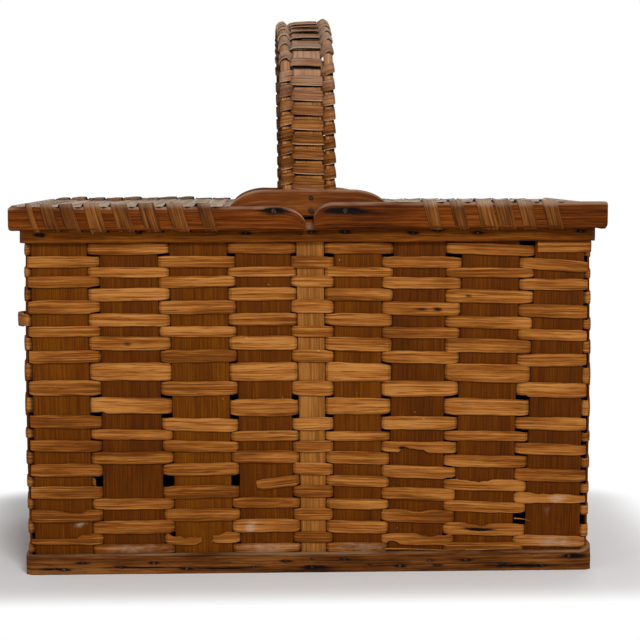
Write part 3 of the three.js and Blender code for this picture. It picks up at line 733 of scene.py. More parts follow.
# Slack places: weaver, then a point that it bulges away from the wall at, and by how much
SLACK = {7: ((-wall_x, -106 * MM), 6.0 * MM), 12: ((-wall_x, -70 * MM), 2.5 * MM),
         15: ((wall_x, -95 * MM), 2.0 * MM), 21: ((-wall_x, -96 * MM), 2.2 * MM)}
SLACK_SPREAD = 11 * MM
ROW_WAVER = 0.45 * MM  # how far a weaver's line goes up and down in its row
BACK_FIT = 1.1  # the weavers are a little wider off the front wall
TAPER_WAVER, WIDTH_WAVER = 0.9, 0.09  # how unevenly a weaver narrows, and how its width varies
EDGE_SEEDS = (40, 80)  # for its upper and its lower edge
TORN_LIMIT = -0.82  # a tear leaves at least a thread along the other edge
WEAVER_GRAIN = 2.1  # the grain of each weaver begins this far along from that of the last
WEAVER_SPACING, LAP_SPACING = 2.0 * MM, 1.8 * MM  # between the points of a weaver and of that lap
HANG = 30  # millimetres of a torn end that hang down

along_x, along_y = np.array((1.0, 0.0)), np.array((0.0, 1.0))


def turned(stakes):
    """The same stakes as they are met on the opposite wall."""
    return [(-place, *rest) for place, *rest in stakes[::-1]]


def walls_at(height):
    """The four walls in order round the basket: the way along each, the way out of it, and its stakes."""
    long_stakes = stakes_at(height)
    return [
        (along_x, -along_y, wall_x, wall_y, long_stakes),
        (along_y, along_x, wall_y, wall_x, end_stakes),
        (-along_x, along_y, wall_x, wall_y, turned(long_stakes)),
        (-along_y, -along_x, wall_y, wall_x, turned(end_stakes)),
    ]


def weaver_ring(row, height):
    """The line of a weaver seen from above, from the middle of the back wall all the way round."""
    ring = []
    passed = 0
    for along, out, half_length, reach, stakes in walls_at(height):
        for place, width, thickness in stakes:
            level = thickness / 2 + FIT + WEAVER_THICKNESS / 2
            if (passed + row) % 2 == 1:
                edge = [(width / 2 + past, level) for past in RIDE]
                middle = (0.0, level + WEAVER_BOW)
            else:
                edge = [(width / 2 + past, side * level) for past, side in DIVE]
                middle = (0.0, -level - WEAVER_BOW)
            steps = [(-step, rise) for step, rise in edge] + [middle] + edge[::-1]
            for step, rise in steps:
                if abs(place + step) < half_length - CORNER_ROOM:
                    ring.append((place + step) * along + (reach + rise) * out)
            passed += 1
        ring.append(half_length * along + reach * out)
    ring = np.array(ring)
    start = int(np.argmax(ring[:, 1] - 0.01 * np.abs(ring[:, 0])))
    ring = np.concatenate((ring[start:], ring[:start + 1]))
    return evenly(rounded(ring), WEAVER_SPACING)


def sag(number, points):
    """How far a weaver hangs below its own level at each point of its ring."""
    right = np.clip(points[:, 0] / wall_x, 0.0, 1.0)
    front = np.clip((wall_y - points[:, 1]) / (2 * wall_y), 0.0, 1.0)
    down = np.interp(number, SAG_ROWS, SAG) * right
    if number in TILT:
        begin, length, fall = TILT[number]
        down = down + fall * np.clip((points[:, 0] / MM - begin) / length, 0.0, 1.0)
    down = down + ROW_DIP.get(number, 0.0) * np.exp(-((points[:, 0] / MM - DIP_PLACE) / DIP_SPREAD) ** 2)
    return down * front * MM


def on_front(points):
    """Which of the points lie on the front wall."""
    return points[:, 1] < -wall_y + WALL_REACH


TORN_LENGTH = 4.5 * MM


def torn_end(from_end, seed):
    """How far a torn splint still reaches near its broken end, above and below its middle."""
    near = np.clip(from_end / TORN_LENGTH, 0.0, 1.0)
    ragged = 0.2 * wander(from_end, seed, 400.0) * (1 - near)
    long, short = 0.9 + 0.1 * near + ragged, 0.45 + 0.55 * near - ragged
    return (long, short) if seed % 2 else (short, long)


weaver_wood = wood("honey weaver splint", "b4783a", "90541d", "603108", streaks=1.3, fibre_width=0.8,
                   dirt_and_shade=0.8, inner_shade=0.3)
WEAVER_TONE = -0.05
# Weavers that are darker or paler than that all the way round
ROW_TONES = {1: -0.14, 8: 0.03, 11: 0.04, 12: 0.08, 13: 0.1, 24: -0.12, 25: -0.15}
# Darker places on the front wall, by weaver: place, half length, and the change of tone
DARKER = {
    9: [(-126, 34, -0.14)],
    10: [(-174, 34, -0.2), (-79, 32, -0.36)],
    12: [(-174, 34, -0.1)],
    14: [(-174, 34, -0.36)],
    16: [(-174, 34, -0.15)],
    20: [(-174, 34, -0.2), (-79, 32, -0.15)],
    22: [(-174, 34, -0.15)],
}

for row in range(WEAVER_COUNT):
    number = row + 1
    name = f"weaver_{number:02d}"
    middle, size = middle_and_size(name)
    ring = weaver_ring(row, middle.z)
    if number in SLACK:
        (slack_x, slack_y), slack_size = SLACK[number]
        away = np.hypot(ring[:, 0] - slack_x, ring[:, 1] - slack_y)
        bulge = slack_size * np.exp(-(away / SLACK_SPREAD) ** 2)
        ring[:, 0] += np.sign(slack_x) * bulge
    places = lengths_along(ring)
    lift, fit = ROW_FIT.get(number, (0.0, 1.0))
    height = middle.z + lift * MM + ROW_WAVER * wander(places, number, 14.0) - sag(number, ring)
    points = np.column_stack((ring, height))

    # How far the weaver stands out of its wall, from -1 inside to 1 outside; where it is low the material
    # paints shade
    gap_x = np.abs(points[:, 0]) - wall_x
    gap_y = np.abs(points[:, 1]) - wall_y
    outward = np.where(gap_y > gap_x, gap_y, gap_x)
    depth = np.clip(outward / WEAVER_OUT, -1.0, 1.0)
    front = on_front(points)
    diving = np.convolve(np.pad(1.0 - depth ** 2, BLUR_REACH, "edge"), DIVE_BLUR / DIVE_BLUR.sum(), "valid")
    taper = WEAVER_TAPER * diving * front
    spread = WEAVER_SPREAD * np.where(front, fit, BACK_FIT)
    upper, lower = [(1.0 - taper * (1.0 + TAPER_WAVER * wander(places, number + seed, 33.0)))
                    * (spread + WIDTH_WAVER * wander(places, number + seed, 19.0))
                    for seed in EDGE_SEEDS]
    points = bowed(points)
    for centre, half_length, share, side in TORN.get(number, []):
        away = (points[:, 0] - centre * MM) / (half_length * MM)
        jag = 1.0 + 0.35 * wander(places, number + centre, 260.0)
        bite = np.where(on_front(points), share * np.clip(1.0 - away ** 4, 0.0, 1.0) * jag, 0.0)
        if side > 0:
            upper = np.maximum(upper - bite, TORN_LIMIT)
        else:
            lower = np.maximum(lower - bite, TORN_LIMIT)
    tone = ROW_TONES.get(number, WEAVER_TONE) + 0.16 * wander([number], 7.0, 3.1)[0]
    tone = tone + 0.26 * wander(places, number + 120, 14.0)
    for centre, half_length, change in DARKER.get(number, []):
        away = (points[:, 0] / MM - centre) / half_length
        tone = tone + change * on_front(points) * np.exp(-away ** 4)

    keep = np.ones(len(points), bool)
    for low, high, left_drop, right_drop in LOST.get(number, []):
        x = points[:, 0] / MM
        here = on_front(points)
        keep &= ~(here & (x > low) & (x < high))
        if high * MM > wall_x:
            keep &= ~((points[:, 0] > wall_x - WALL_REACH) & (points[:, 1] < -wall_y + CORNER_REACH))
        points[:, 2] -= MM * np.where(here, left_drop * np.clip(1 - (low - x) / HANG, 0, 1) * (x < low), 0)
        points[:, 2] -= MM * np.where(here, right_drop * np.clip(1 - (x - high) / HANG, 0, 1) * (x > high), 0)
    runs = np.split(np.arange(len(points)), np.flatnonzero(np.diff(keep.astype(int))) + 1)
    strips = []
    for run in runs:
        if not keep[run[0]] or len(run) < 4:
            continue
        run_upper, run_lower = upper[run], lower[run]
        if run[0] > 0:
            top, bottom = torn_end(places[run] - places[run[0]], number)
            run_upper, run_lower = run_upper * top, run_lower * bottom
        if run[-1] < len(points) - 1:
            top, bottom = torn_end(places[run[-1]] - places[run], number + 1)
            run_upper, run_lower = run_upper * top, run_lower * bottom
        strips.append(strip(points[run], UP, upper=run_upper, lower=run_lower, tone=tone[run],
                            depth=depth[run], start=WEAVER_GRAIN * number + places[run[0]]))
    if number == LAPPED:
        lap = evenly(rounded(np.array(LAP_LINE) * MM, 2), LAP_SPACING)
        lap = np.column_stack((lap, np.full(len(lap), middle.z)))
        strips.append(strip(lap, UP, upper=1.05, lower=1.0, tone=WEAVER_TONE, start=WEAVER_GRAIN * number))
    for from_x, from_z, to_x, to_z in FIBRES.get(number, []):
        share = np.linspace(0.0, 1.0, FIBRE_POINTS)
        fibre = np.column_stack((from_x + (to_x - from_x) * share,
                                 -wall_y / MM - FIBRE_OUT - FIBRE_RISE * share,
                                 from_z + (to_z - from_z) * share ** 2)) * MM
        strips.append(strip(fibre, UP, FIBRE_WIDTH - FIBRE_TAPER * share, stout=0.4, tone=0.3,
                            start=WEAVER_GRAIN * number))
    piece = splints(name, strips, weaver_wood, size.z, WEAVER_THICKNESS, WEAVER_CORNER, Cuts=3,
                    Waviness=0.7 * MM, Unevenness=0.2 * MM, Cup=0.22 * MM, Seed=float(number))
    marks = MARKS.get(number, [])
    spots = np.array([(x * MM, -wall_y - 2.3 * MM) for x, *_ in marks]).reshape(-1, 2)
    stain(piece, [((*spot, middle.z - drop), long * MM, high * MM, strength)
                  for spot, drop, (_, long, high, strength) in zip(spots, sag(number, spots), marks)])
    dress(piece, "basket", "weaver_splint", name)


# Rims and foot band: bent strips that hold the stakes' ends between them, nailed through. The foot band
# is the darkest, worn and a little sprung away from the right front corner.
def band_ring(node, thickness, corner):
    """The middle line of a band, from the middle of the back wall all the way round."""
    middle, size = middle_and_size(node)
    half_x, half_y = size.x / 2 - thickness / 2, size.y / 2 - thickness / 2
    turn = np.linspace(0.0, math.pi / 2, 7)
    line = [(0.0, half_y)]
    for quarter, (side_x, side_y) in enumerate(((-1, 1), (-1, -1), (1, -1), (1, 1))):
        angle = turn + math.pi / 2 * (quarter + 1)
        line.extend(zip(side_x * (half_x - corner) + corner * np.cos(angle),
                        side_y * (half_y - corner) + corner * np.sin(angle)))
    line.append((-0.4 * MM, half_y))
    flat = evenly(np.array(line), POINT_SPACING)
    return np.column_stack((flat, np.full(len(flat), middle.z)))


RIM_THICKNESS = 4.2 * MM
FOOT_THICKNESS = 3.0 * MM
FOOT_SHADE = 0.1  # the foot band is darker towards the right
RIM_BENDS = {"outer_rim": 5.9 * MM, "inner_rim": 2.0 * MM}  # how tightly they turn the corners
FOOT_BEND = 4.5 * MM
SPRUNG_FROM, SPRUNG_OVER = 196 * MM, 7 * MM  # where the foot band springs up, and over what length
# Nails in the front of the rim and of the foot band: place along the wall, and height
RIM_NAILS = [(-188.9, 242.5), (-120, 244.5), (-44.5, 243.4), (1.7, 244.0), (25.3, 243.9), (73.4, 243.0),
             (91.1, 245.0), (119.5, 242.9), (192.7, 244.0)]
FOOT_NAILS = [(-175.6, 3.6), (-162, 8.5), (-135, 5.3), (-111.5, 8.0), (-88, 3.4), (-59.4, 8.2),
              (-40.8, 4.4), (-17.2, 8.5), (1.4, 9.8), (1.4, 4.0), (25.1, 9.6), (43.1, 5.7), (64.6, 4.1),
              (86.2, 8.2), (91.3, 4.5), (112.2, 8.0), (138.1, 5.5), (167.1, 3.4), (186.5, 10.6)]
RIM_RUST = (5, 1.5, 0.9)  # round each of the rim's nails: half length, half height, strength
# Dark cracks and smears along the foot band: place, height, half length, half height
FOOT_CRACKS = [(-185, 4.2, 26, 0.9), (-118, 5.0, 34, 0.6), (-60, 3.8, 22, 0.7), (4, 3.6, 12, 2.0),
               (60, 4.4, 26, 0.6), (152, 3.6, 34, 1.4), (190, 10.4, 11, 2.2)]
CRACK_STRENGTH = 0.8
RIM_DUST = (1.7, 247.5, 5.0, 4.5, -0.8)  # a pale spot at the middle of the rim, and its strength
rim_wood = wood("nailed rim strip", "864c12", "673302", "3f1a00", fibre_width=1.6, dirt_and_shade=0.4)
foot_wood = wood("worn foot band", "845224", "60340f", "2e1404", fibre_width=1.6, patchy=1.4, dirt_and_shade=0.45,
                 wear_and_highlight=("84694f", 0.72, 0.7))
rim_front = -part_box("outer_rim")[1].y
foot_front = -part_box("foot_band")[1].y

for name, corner in RIM_BENDS.items():
    _, size = middle_and_size(name)
    line = band_ring(name, RIM_THICKNESS, corner)
    places = lengths_along(line)
    run = strip(line, UP, tone=0.12 * wander(places, 61, 8.0), start=70.0,
                upper=1.0 + 0.02 * wander(places, 62, 12.0), lower=1.0 + 0.045 * wander(places, 63, 16.0))
    piece = splints(name, [run], rim_wood, size.z, RIM_THICKNESS, 0.7 * MM, Cuts=9, Waviness=0.5 * MM,
                    Unevenness=0.35 * MM, Seed=61.0)
    rim_stains = [mark(rim_front, *nail, *RIM_RUST) for nail in RIM_NAILS]
    stain(piece, [*rim_stains, mark(rim_front, *RIM_DUST)])
    dress(piece, "basket", "rim_wood", name)

line = band_ring("foot_band", FOOT_THICKNESS, FOOT_BEND)
places = lengths_along(line)
sprung = np.clip((line[:, 0] - SPRUNG_FROM) / SPRUNG_OVER, 0.0, 1.0)
sprung = sprung * (line[:, 1] < -wall_y + CORNER_REACH)
foot_tone = 0.16 * wander(places, 71, 8.0) - FOOT_SHADE * line[:, 0] / wall_x
run = strip(line, UP, tone=foot_tone, start=75.0,
            upper=1.0 + 0.05 * wander(places, 72, 14.0) + 0.7 * sprung)
foot = splints("foot_band", [run], foot_wood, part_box("foot_band")[1].z, FOOT_THICKNESS, 0.6 * MM, Cuts=11,
               Waviness=0.4 * MM, Unevenness=0.4 * MM, Seed=71.0)
foot_uneven = wander(np.arange(len(FOOT_NAILS)), 77, 1.7)
foot_stains = [mark(foot_front, *nail, 5.5 + 4.0 * uneven, 1.3, 0.75 + 0.4 * uneven)
               for nail, uneven in zip(FOOT_NAILS, foot_uneven)]
foot_stains += [mark(foot_front, *crack, CRACK_STRENGTH) for crack in FOOT_CRACKS]
stain(foot, foot_stains)
dress(foot, "basket", "rim_wood", "foot_band")


# Handle hoop: a long, lighter splint that is the middle stake of both long walls and goes on upwards
# to close in an arch over the lids.
ARCH_RISE = 42.0 * MM
hoop_top = hoop_middle.z + hoop_size.z / 2 - HOOP_THICKNESS / 2
spring_height = hoop_top - ARCH_RISE


def arch_line(foot_height, steps=90):
    """The handle's line from the front foot over the top to the back foot, as y and z."""
    angle = np.linspace(math.pi, 0.0, steps)
    arch = np.column_stack((wall_y * np.cos(angle), spring_height + ARCH_RISE * np.sin(angle)))
    return np.concatenate(([(-wall_y, foot_height)], arch, [(wall_y, foot_height)]))


HANDLE_LEAN = 2.2 * MM  # the arch's top stands this far to the left
HANDLE_DROP = 2.2 * MM  # and this far down
HANDLE_TILT = 0.06  # and its right side is higher by this share of the way across
HANDLE_SPACING = 1.5 * MM  # between the points of its lines
HANDLE_STRAIGHT = 0.275  # above this height the hoop no longer leans with the stakes


def leaning(points):
    """The handle's points moved a little to the left and tilted, the more the higher they are."""
    high = np.clip((points[:, 2] - stake_top) / (hoop_top - stake_top), 0.0, 1.0) ** 2
    moved = points.copy()
    moved[:, 0] -= HANDLE_LEAN * high
    moved[:, 2] += (HANDLE_TILT * points[:, 0] - HANDLE_DROP) * high
    return moved


hoop_wood = wood("pale handle splint", "b37c3f", "925b25", "653a10", streaks=0.8, fibre_width=0.7,
                 dirt_and_shade=0.45, inner_shade=0.8, greyed=("b3917a", 0.30, 0.38))
under = base_run(HOOP_ORDER, HOOP_THICKNESS, end_stakes, wall_y)
hoop_line = np.array([*arch_line(BEND_HEIGHT)[::-1], *under, (wall_y, BEND_HEIGHT)])
flat = evenly(rounded(hoop_line, 2), HANDLE_SPACING)
across, widths = stake_at(HOOP_ORDER, flat[:, 1])
below = np.clip((HANDLE_STRAIGHT - flat[:, 1]) / (HANDLE_STRAIGHT - stake_top), 0.0, 1.0)
points = np.column_stack((hoop_middle.x + (across - hoop_middle.x) * below, flat))
reach = 1.0 + (widths / hoop_size.x - 1.0) * below
run = strip(leaning(points), ALONG_X, reach, start=80.0, tone=0.1 * wander(lengths_along(flat), 81, 6.0))
hoop = splints("handle_hoop", [run], hoop_wood, hoop_size.x, HOOP_THICKNESS, 0.4 * MM, Cuts=3,
               Waviness=0.4 * MM, Unevenness=0.25 * MM, Seed=81.0)
dress(hoop, "basket", "handle_splint", "handle_hoop")


# Handle rods: two round rods of whittled wood, one at each side of the hoop. They stand on the rim and
# follow the hoop's arch, and the wrap holds them to it.
ROD_GIRTH = 6.6 * MM
rod_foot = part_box("left_handle_rod")[0].z
rod_wood = wood("whittled handle rod", "c88c4e", "a0642e", "633814", dirt_and_shade=0.0, inner_shade=0.8,
                greyed=("aa8a70", 0.30, 0.39))
rods = {}
for side, name in ((-1, "left_handle_rod"), (1, "right_handle_rod")):
    middle, _ = middle_and_size(name)
    flat = evenly(arch_line(rod_foot), HANDLE_SPACING)
    points = np.column_stack((np.full(len(flat), middle.x), flat))
    run = strip(leaning(points), (-1.0, 0.0, 0.0), start=84.0 + side)
    piece = splints(name, [run], rod_wood, ROD_GIRTH, ROD_GIRTH, 0.49 * ROD_GIRTH, Cuts=0,
                    Rounding=3, Unevenness=0.2 * MM, Seed=84.0 + side)
    rods[side] = piece
    dress(piece, "basket", "handle_splint", name)


# Handle wrap: one long splint wound over the hoop and under the rods, then back over the rods and under
# the hoop, all the way up one leg, over the top and down the other. Its top is greyer.
WRAP_TURNS = 34
ARCH_PITCH = 1.5  # the turns stand this much further apart over the arch than on the legs
WRAP_WIDTH = 7.6 * MM
WRAP_THICKNESS = 0.9 * MM
WRAP_SLACK = 0.35 * MM  # between the wrap and the hoop
ROD_SLACK = 0.4 * MM  # between the wrap and a rod
ROD_PACE, HOOP_PACE = 2.0, 0.7  # how fast the wrap climbs round a rod, and across the hoop
HOOP_SHINGLE, ROD_SHINGLE = 0.24, 0.08  # the wrap's lower edge stands out by this share of its width
SHADOW_FALL = 1.0 * MM  # how far the dark under that edge reaches
TURN_STEPS = 36
EDGE_ROOM = 0.6 * MM  # between the hoop's edge and the place where the wrap passes it
WRAP_BULGE = 0.3 * MM  # over the middle of the hoop
CROSSING, CROSSING_SPREAD = 11 * MM, 2.2 * MM  # from the middle, where the wrap goes between hoop and rod
rod_place = middle_and_size("right_handle_rod")[0].x
wrap_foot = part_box("front_hinge_ear")[1].z - 2.5 * MM


def wrap_turn():
    """One turn of the wrap round the handle, seen along it: across the handle, and out of it."""
    orbit = ROD_GIRTH / 2 + ROD_SLACK + WRAP_THICKNESS / 2
    edge = hoop_size.x / 2 + EDGE_ROOM
    face = HOOP_THICKNESS / 2 + WRAP_SLACK + WRAP_THICKNESS / 2

    def around(side, degrees):
        return [(side * rod_place + orbit * math.cos(math.radians(d)), orbit * math.sin(math.radians(d)))
                for d in degrees]

    turn = [(edge, face), (0.0, face + WRAP_BULGE), (-edge, face),
            *around(-1, (-60, -90, -135, -180, -225, -270, -300)),
            (-edge, -face), (0.0, -face), (edge, -face),
            *around(1, (120, 90, 45, 0, -45, -90, -120))]
    closed = np.array([*turn, *turn[:3]])
    smooth = rounded(closed, 2)
    half = len(smooth) - len(rounded(np.array(turn[:3]), 2))
    return evenly(smooth[:half], lengths_along(smooth[:half])[-1] / TURN_STEPS)[:TURN_STEPS]


turn = wrap_turn()
leg = arch_line(wrap_foot, 160)
leg_lengths = lengths_along(leg)
pitch = np.where((leg[1:, 1] + leg[:-1, 1]) / 2 > spring_height, ARCH_PITCH, 1.0)
turns_along = np.concatenate(([0.0], np.cumsum(np.diff(leg_lengths) / pitch)))
count = WRAP_TURNS * TURN_STEPS
pace = np.cumsum(np.where(np.abs(turn[:, 0]) > rod_place - ROD_GIRTH / 2, ROD_PACE, HOOP_PACE))
order = np.arange(count) + TURN_STEPS // 2
climbed = order // TURN_STEPS + (pace / pace[-1])[order % TURN_STEPS]
climbed = (climbed - climbed[0]) / (climbed[-1] - climbed[0])
places = np.interp(climbed * turns_along[-1], turns_along, leg_lengths)
centre = np.column_stack([np.interp(places, leg_lengths, column) for column in leg.T])
heading = unit(np.gradient(centre, axis=0))
step = turn[order % TURN_STEPS]
wrap_points = np.column_stack((step[:, 0], centre[:, 0] - heading[:, 1] * step[:, 1],
                               centre[:, 1] + heading[:, 0] * step[:, 1]))
wrap_across = np.column_stack((np.zeros(count), heading))
crossing = np.exp(-((np.abs(step[:, 0]) - CROSSING) / CROSSING_SPREAD) ** 2)
crossing = crossing * (np.abs(step[:, 1]) < 2.4 * MM)
wrap_lengths = lengths_along(wrap_points)
wrap_reach = (1.0 - 0.1 * crossing) * (1.0 + 0.12 * wander(wrap_lengths, 91, 24.0))
# Painted shade: the splint is darkened where it passes between the hoop and a rod, and on the inside of the
# arch
inside_arch = np.clip(-step[:, 1] / (1.5 * MM), 0.0, 1.0)
wrap_shading = 1.0 - 1.1 * crossing - 1.2 * inside_arch
wrap_wood = wood("wound handle splint", "a26a36", "764419", "3c1d09", dirt_and_shade=0.9,
                 greyed=("a28c7c", 0.315, 0.385), wear_and_highlight=("c29c7c", 0.74, 0.7))
# The splint is followed downwards, so that its pale edge, wear and a painted highlight, is the lower one on
# the front leg
run = strip(leaning(wrap_points)[::-1], -wrap_across[::-1], wrap_reach[::-1], depth=wrap_shading[::-1],
            start=90.0, tone=0.24 * wander(wrap_lengths, 92, 11.0)[::-1])
# Over the hoop the splint's other face is the outer one
shingle = np.interp(np.abs(step[::-1, 0]), (hoop_size.x / 2, rod_place), (-HOOP_SHINGLE, ROD_SHINGLE))
run["across"] = unit(run["across"] + shingle[:, None] * run["facing"])
wrap = splints("handle_wrap", [run], wrap_wood, WRAP_WIDTH, WRAP_THICKNESS, 0.2 * MM, Cuts=2,
               Waviness=0.4 * MM, Cup=0.15 * MM, Seed=91.0)
dress(wrap, "basket", "handle_splint", "handle_wrap")

# Painted shadow: the hoop and the rods are darkened under each turn's lower edge, and the hoop gets a painted
# dark slit below the front ear
slit_shadow_below_ear = mark(-wall_y, 1.7, 253.8, 4.5, 1.2, 1.0)
lower_edge = leaning(wrap_points) - wrap_across * WRAP_WIDTH / 2
for piece, place, spots in ((hoop, 0.0, [slit_shadow_below_ear]), (rods[-1], -rod_place, []), (rods[1], rod_place, [])):
    nearest = np.argmin(np.abs(turn[:, 0] - place) + np.where(turn[:, 1] < 0, 1.0, 0.0))
    on_piece = order % TURN_STEPS == nearest
    stain(piece, spots, [(edge, -way, SHADOW_FALL)
                         for edge, way in zip(lower_edge[on_piece], wrap_across[on_piece])])


# Hinge ears: two sawn boards with round shoulders, nailed to the outside of the handle's legs. The lids'
# rails turn on the heavier nails that are driven into them.
EAR_SHOULDER = 28.0 * MM
EAR_LOSS = {"front_hinge_ear": 0.8 * MM, "back_hinge_ear": 2.6 * MM}  # worn off their tops
EAR_POINTS = 60
EAR_NAILS = [(1.3, 258.8), (1.3, 268.0)]  # place along the ear, and height
EAR_STAINS = [(2.5, 2.5, 0.8), (1.8, 1.5, 0.5)]  # round each of them: half length, half height, strength
ear_wood = wood("sawn hinge ear", "8c5527", "6d3812", "451f08", streaks=0.8, fibre_width=1.3, dirt_and_shade=0.3,
                wear_and_highlight=("9c7c66", 0.75, 0.8))


def board(name, places, low, high, front, thickness, way, finish, corner, start, seed):
    """An upright board along the wall, with its lower and upper edge at each place. Way -1 faces forward."""
    tall = float(np.max(high - low))
    share = (high - low) / tall
    points = np.column_stack((places, np.full(len(places), front), (low + high) / 2))
    order = slice(None) if way < 0 else slice(None, None, -1)
    reach = share * (1.0 + 0.012 * wander(places, seed, 30.0))
    run = strip(points[order], UP, reach[order], start=start,
                tone=0.14 * wander(places, seed, 11.0)[order])
    run["across"] = np.tile(UP, (len(points), 1))
    run["facing"] = np.tile((0.0, float(way), 0.0), (len(points), 1))
    return splints(name, [run], finish, tall, thickness, corner, Cuts=5, Unevenness=0.35 * MM,
                   Waviness=0.3 * MM, Seed=float(seed))


for way, name in ((-1, "front_hinge_ear"), (1, "back_hinge_ear")):
    low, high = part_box(name)
    half = (high.x - low.x) / 2
    places = half * np.sin(np.linspace(-math.pi / 2, math.pi / 2, EAR_POINTS))
    shoulder = np.clip((np.abs(places) - (half - EAR_SHOULDER)) / EAR_SHOULDER, 0.0, 0.9995)
    top = low.z + (high.z - low.z - EAR_LOSS[name]) * np.sqrt(1.0 - shoulder ** 2)
    ear = board(name, places, np.full(EAR_POINTS, low.z), top, (low.y + high.y) / 2, high.y - low.y, way,
                ear_wood, 0.9 * MM, 100.0 + way, 101 + way)
    stain(ear, [mark(low.y, *nail, *rust) for nail, rust in zip(EAR_NAILS, EAR_STAINS)])
    dress(ear, "basket", "rim_wood", name)


# Lid rails: straight strips along the front and back of each lid, with a rounded nose past the pivot,
# and a plain one across its outer end. They carry the mat between them.
NOSE_LENGTHS = {"left": 21.0 * MM, "right": 14.0 * MM}
NOSE_HEIGHT = 12.0 * MM
# Rails that have warped: how far their lower and upper edges are raised
RAIL_RISE = {("right", "front"): (0.8 * MM, 2.9 * MM), ("right", "back"): (0.0, -1.4 * MM)}
RAIL_END_ROUND = 2.5 * MM
RAIL_THICKNESS = 6.0 * MM
END_RAIL_POINTS = 90
# Where the turns of the lashings cross the rails' tops, along the basket
LASH_TOPS = {
    ("left", "front"): (-195.7, -183.5, -169.7, -152.2, -132.8, -113.9, -94.2, -73.8),
    ("right", "front"): (84, 102.5, 122, 135, 151, 168.5),
    ("left", "back"): (-200, -186, -171, -156, -141, -126, -111, -96, -81, -66),
    ("right", "back"): (66, 81, 96, 111, 126, 141, 156, 171, 186),
}
# Painted shadow in the gap beside each lashing turn at the rail's top:
GAP_SHADOW_PLACE = 8.5  # a rail's top is dark this many millimetres to the right of each turn
GAP_SHADOW_SIZE = (2.4 * MM, 1.4 * MM)  # half length and half height
# Rust round the pivots: place along the rail, height, half length, half height, strength
PIVOT_STAINS = {"left": (-25.0, 259.2, 11.0, 2.6, 1.0), "right": (25.0, 259.2, 17.0, 2.6, 1.0)}
rail_wood = wood("lid rail", "824512", "5d2902", "2d0f00", streaks=0.95, fibre_width=1.3, dirt_and_shade=0.35,
                 wear_and_highlight=("9a7660", 0.68, 0.85))
rail_low, rail_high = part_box("right_lid_end_rail")
rail_bottom, rail_top = rail_low.z, rail_high.z
lid_end = rail_high.x
lid_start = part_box("right_lid_mat")[0].x
ear_front = -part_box("front_hinge_ear")[0].y
rail_middle = ear_front + 0.5 * MM + RAIL_THICKNESS / 2  # out from the middle of the basket
sides = (("left", -1), ("right", 1))
ends = (("front", -1), ("back", 1))


def rail_edges(places, nose_length):
    """The lower and upper edge of a rail at each distance from the middle of the basket."""
    nose = np.clip((lid_start + nose_length - places) / nose_length, 0.0, 0.999)
    top = rail_top - NOSE_HEIGHT + NOSE_HEIGHT * np.sqrt(1.0 - nose ** 2)
    corner = np.clip((places - (lid_end - RAIL_END_ROUND)) / RAIL_END_ROUND, 0.0, 1.0)
    cut = RAIL_END_ROUND * (1.0 - np.sqrt(1.0 - corner ** 2))
    return rail_bottom + cut, top - 0.6 * cut


def rail_stations(nose_length):
    """Places along a rail, closer together where it is round."""
    nose = lid_start + nose_length * (1 - np.cos(np.linspace(0, math.pi / 2, 14)))
    straight = np.arange(lid_start + nose_length + 2 * MM, lid_end - RAIL_END_ROUND - 1 * MM, 2 * MM)
    end = lid_end - RAIL_END_ROUND * (1 - np.sin(np.linspace(0, math.pi / 2, 7)))
    return np.concatenate((nose, straight, end))


for side_name, side in sides:
    rail_places = rail_stations(NOSE_LENGTHS[side_name])
    for end_name, way in ends:
        name = f"{side_name}_lid_{end_name}_rail"
        low, high = rail_edges(rail_places, NOSE_LENGTHS[side_name])
        low_rise, high_rise = RAIL_RISE.get((side_name, end_name), (0.0, 0.0))
        low, high = low + low_rise, high + high_rise
        order = slice(None) if side > 0 else slice(None, None, -1)
        rail = board(name, (side * rail_places)[order], low[order], high[order], way * rail_middle,
                     RAIL_THICKNESS, way, rail_wood, 1.1 * MM, 110 + 3 * side + way, 111 + 3 * side + way)
        spots = [mark(way * (rail_middle + RAIL_THICKNESS / 2), *PIVOT_STAINS[side_name])]
        # Painted shadow on the rail's top beside each lashing turn
        gap_shadow_height = rail_top + high_rise
        spots += [(((top + GAP_SHADOW_PLACE) * MM, way * rail_middle, gap_shadow_height), *GAP_SHADOW_SIZE, 1.0)
                  for top in LASH_TOPS[side_name, end_name]]
        stain(rail, spots)
        dress(rail, f"{side_name}_lid", "rim_wood", name)
    name = f"{side_name}_lid_end_rail"
    middle, size = middle_and_size(name)
    places = np.linspace(-size.y / 2, size.y / 2, END_RAIL_POINTS)
    points = np.column_stack((np.full(END_RAIL_POINTS, middle.x), side * places,
                              np.full(END_RAIL_POINTS, middle.z)))
    run = strip(points, UP, start=118.0 + side, tone=0.14 * wander(places, 117 + side, 11.0))
    piece = splints(name, [run], rail_wood, size.z, size.x, 1.0 * MM, Cuts=5, Unevenness=0.35 * MM,
                    Waviness=0.5 * MM, Seed=117.0 + side)
    dress(piece, f"{side_name}_lid", "rim_wood", name)


# Lashings: a splint wound round each rail binds the mat's edge to it. It leans as it crosses the rail's
# face, and stops short of the ears.
LASH_WIDTH = 10.3 * MM
LASH_THICKNESS = 0.9 * MM
LASH_SLANT = 5.0 * MM
LASH_TAIL = 12.0  # millimetres past the last turn, where the splint ends behind the rail
LASH_SNUG = 0.05 * MM  # between the splint and the rail
# How far the turns stand off the rail's top, how far they tip up at their right, and how much they are cupped
LASH_FORM = {
    ("left", "front"): (1.5 * MM, 0.03, 0.0),
    ("left", "back"): (1.5 * MM, 0.09, 0.9 * MM),
    ("right", "front"): (0.6 * MM, 0.03, 0.0),
    ("right", "back"): (0.4 * MM, 0.06, 0.5 * MM),
}
LASH_UNEVEN = 0.9  # how much their turns differ in that
LASH_SPREAD = {("left", "back"): 1.3, ("right", "back"): 1.3}  # turns that are wider than the rest
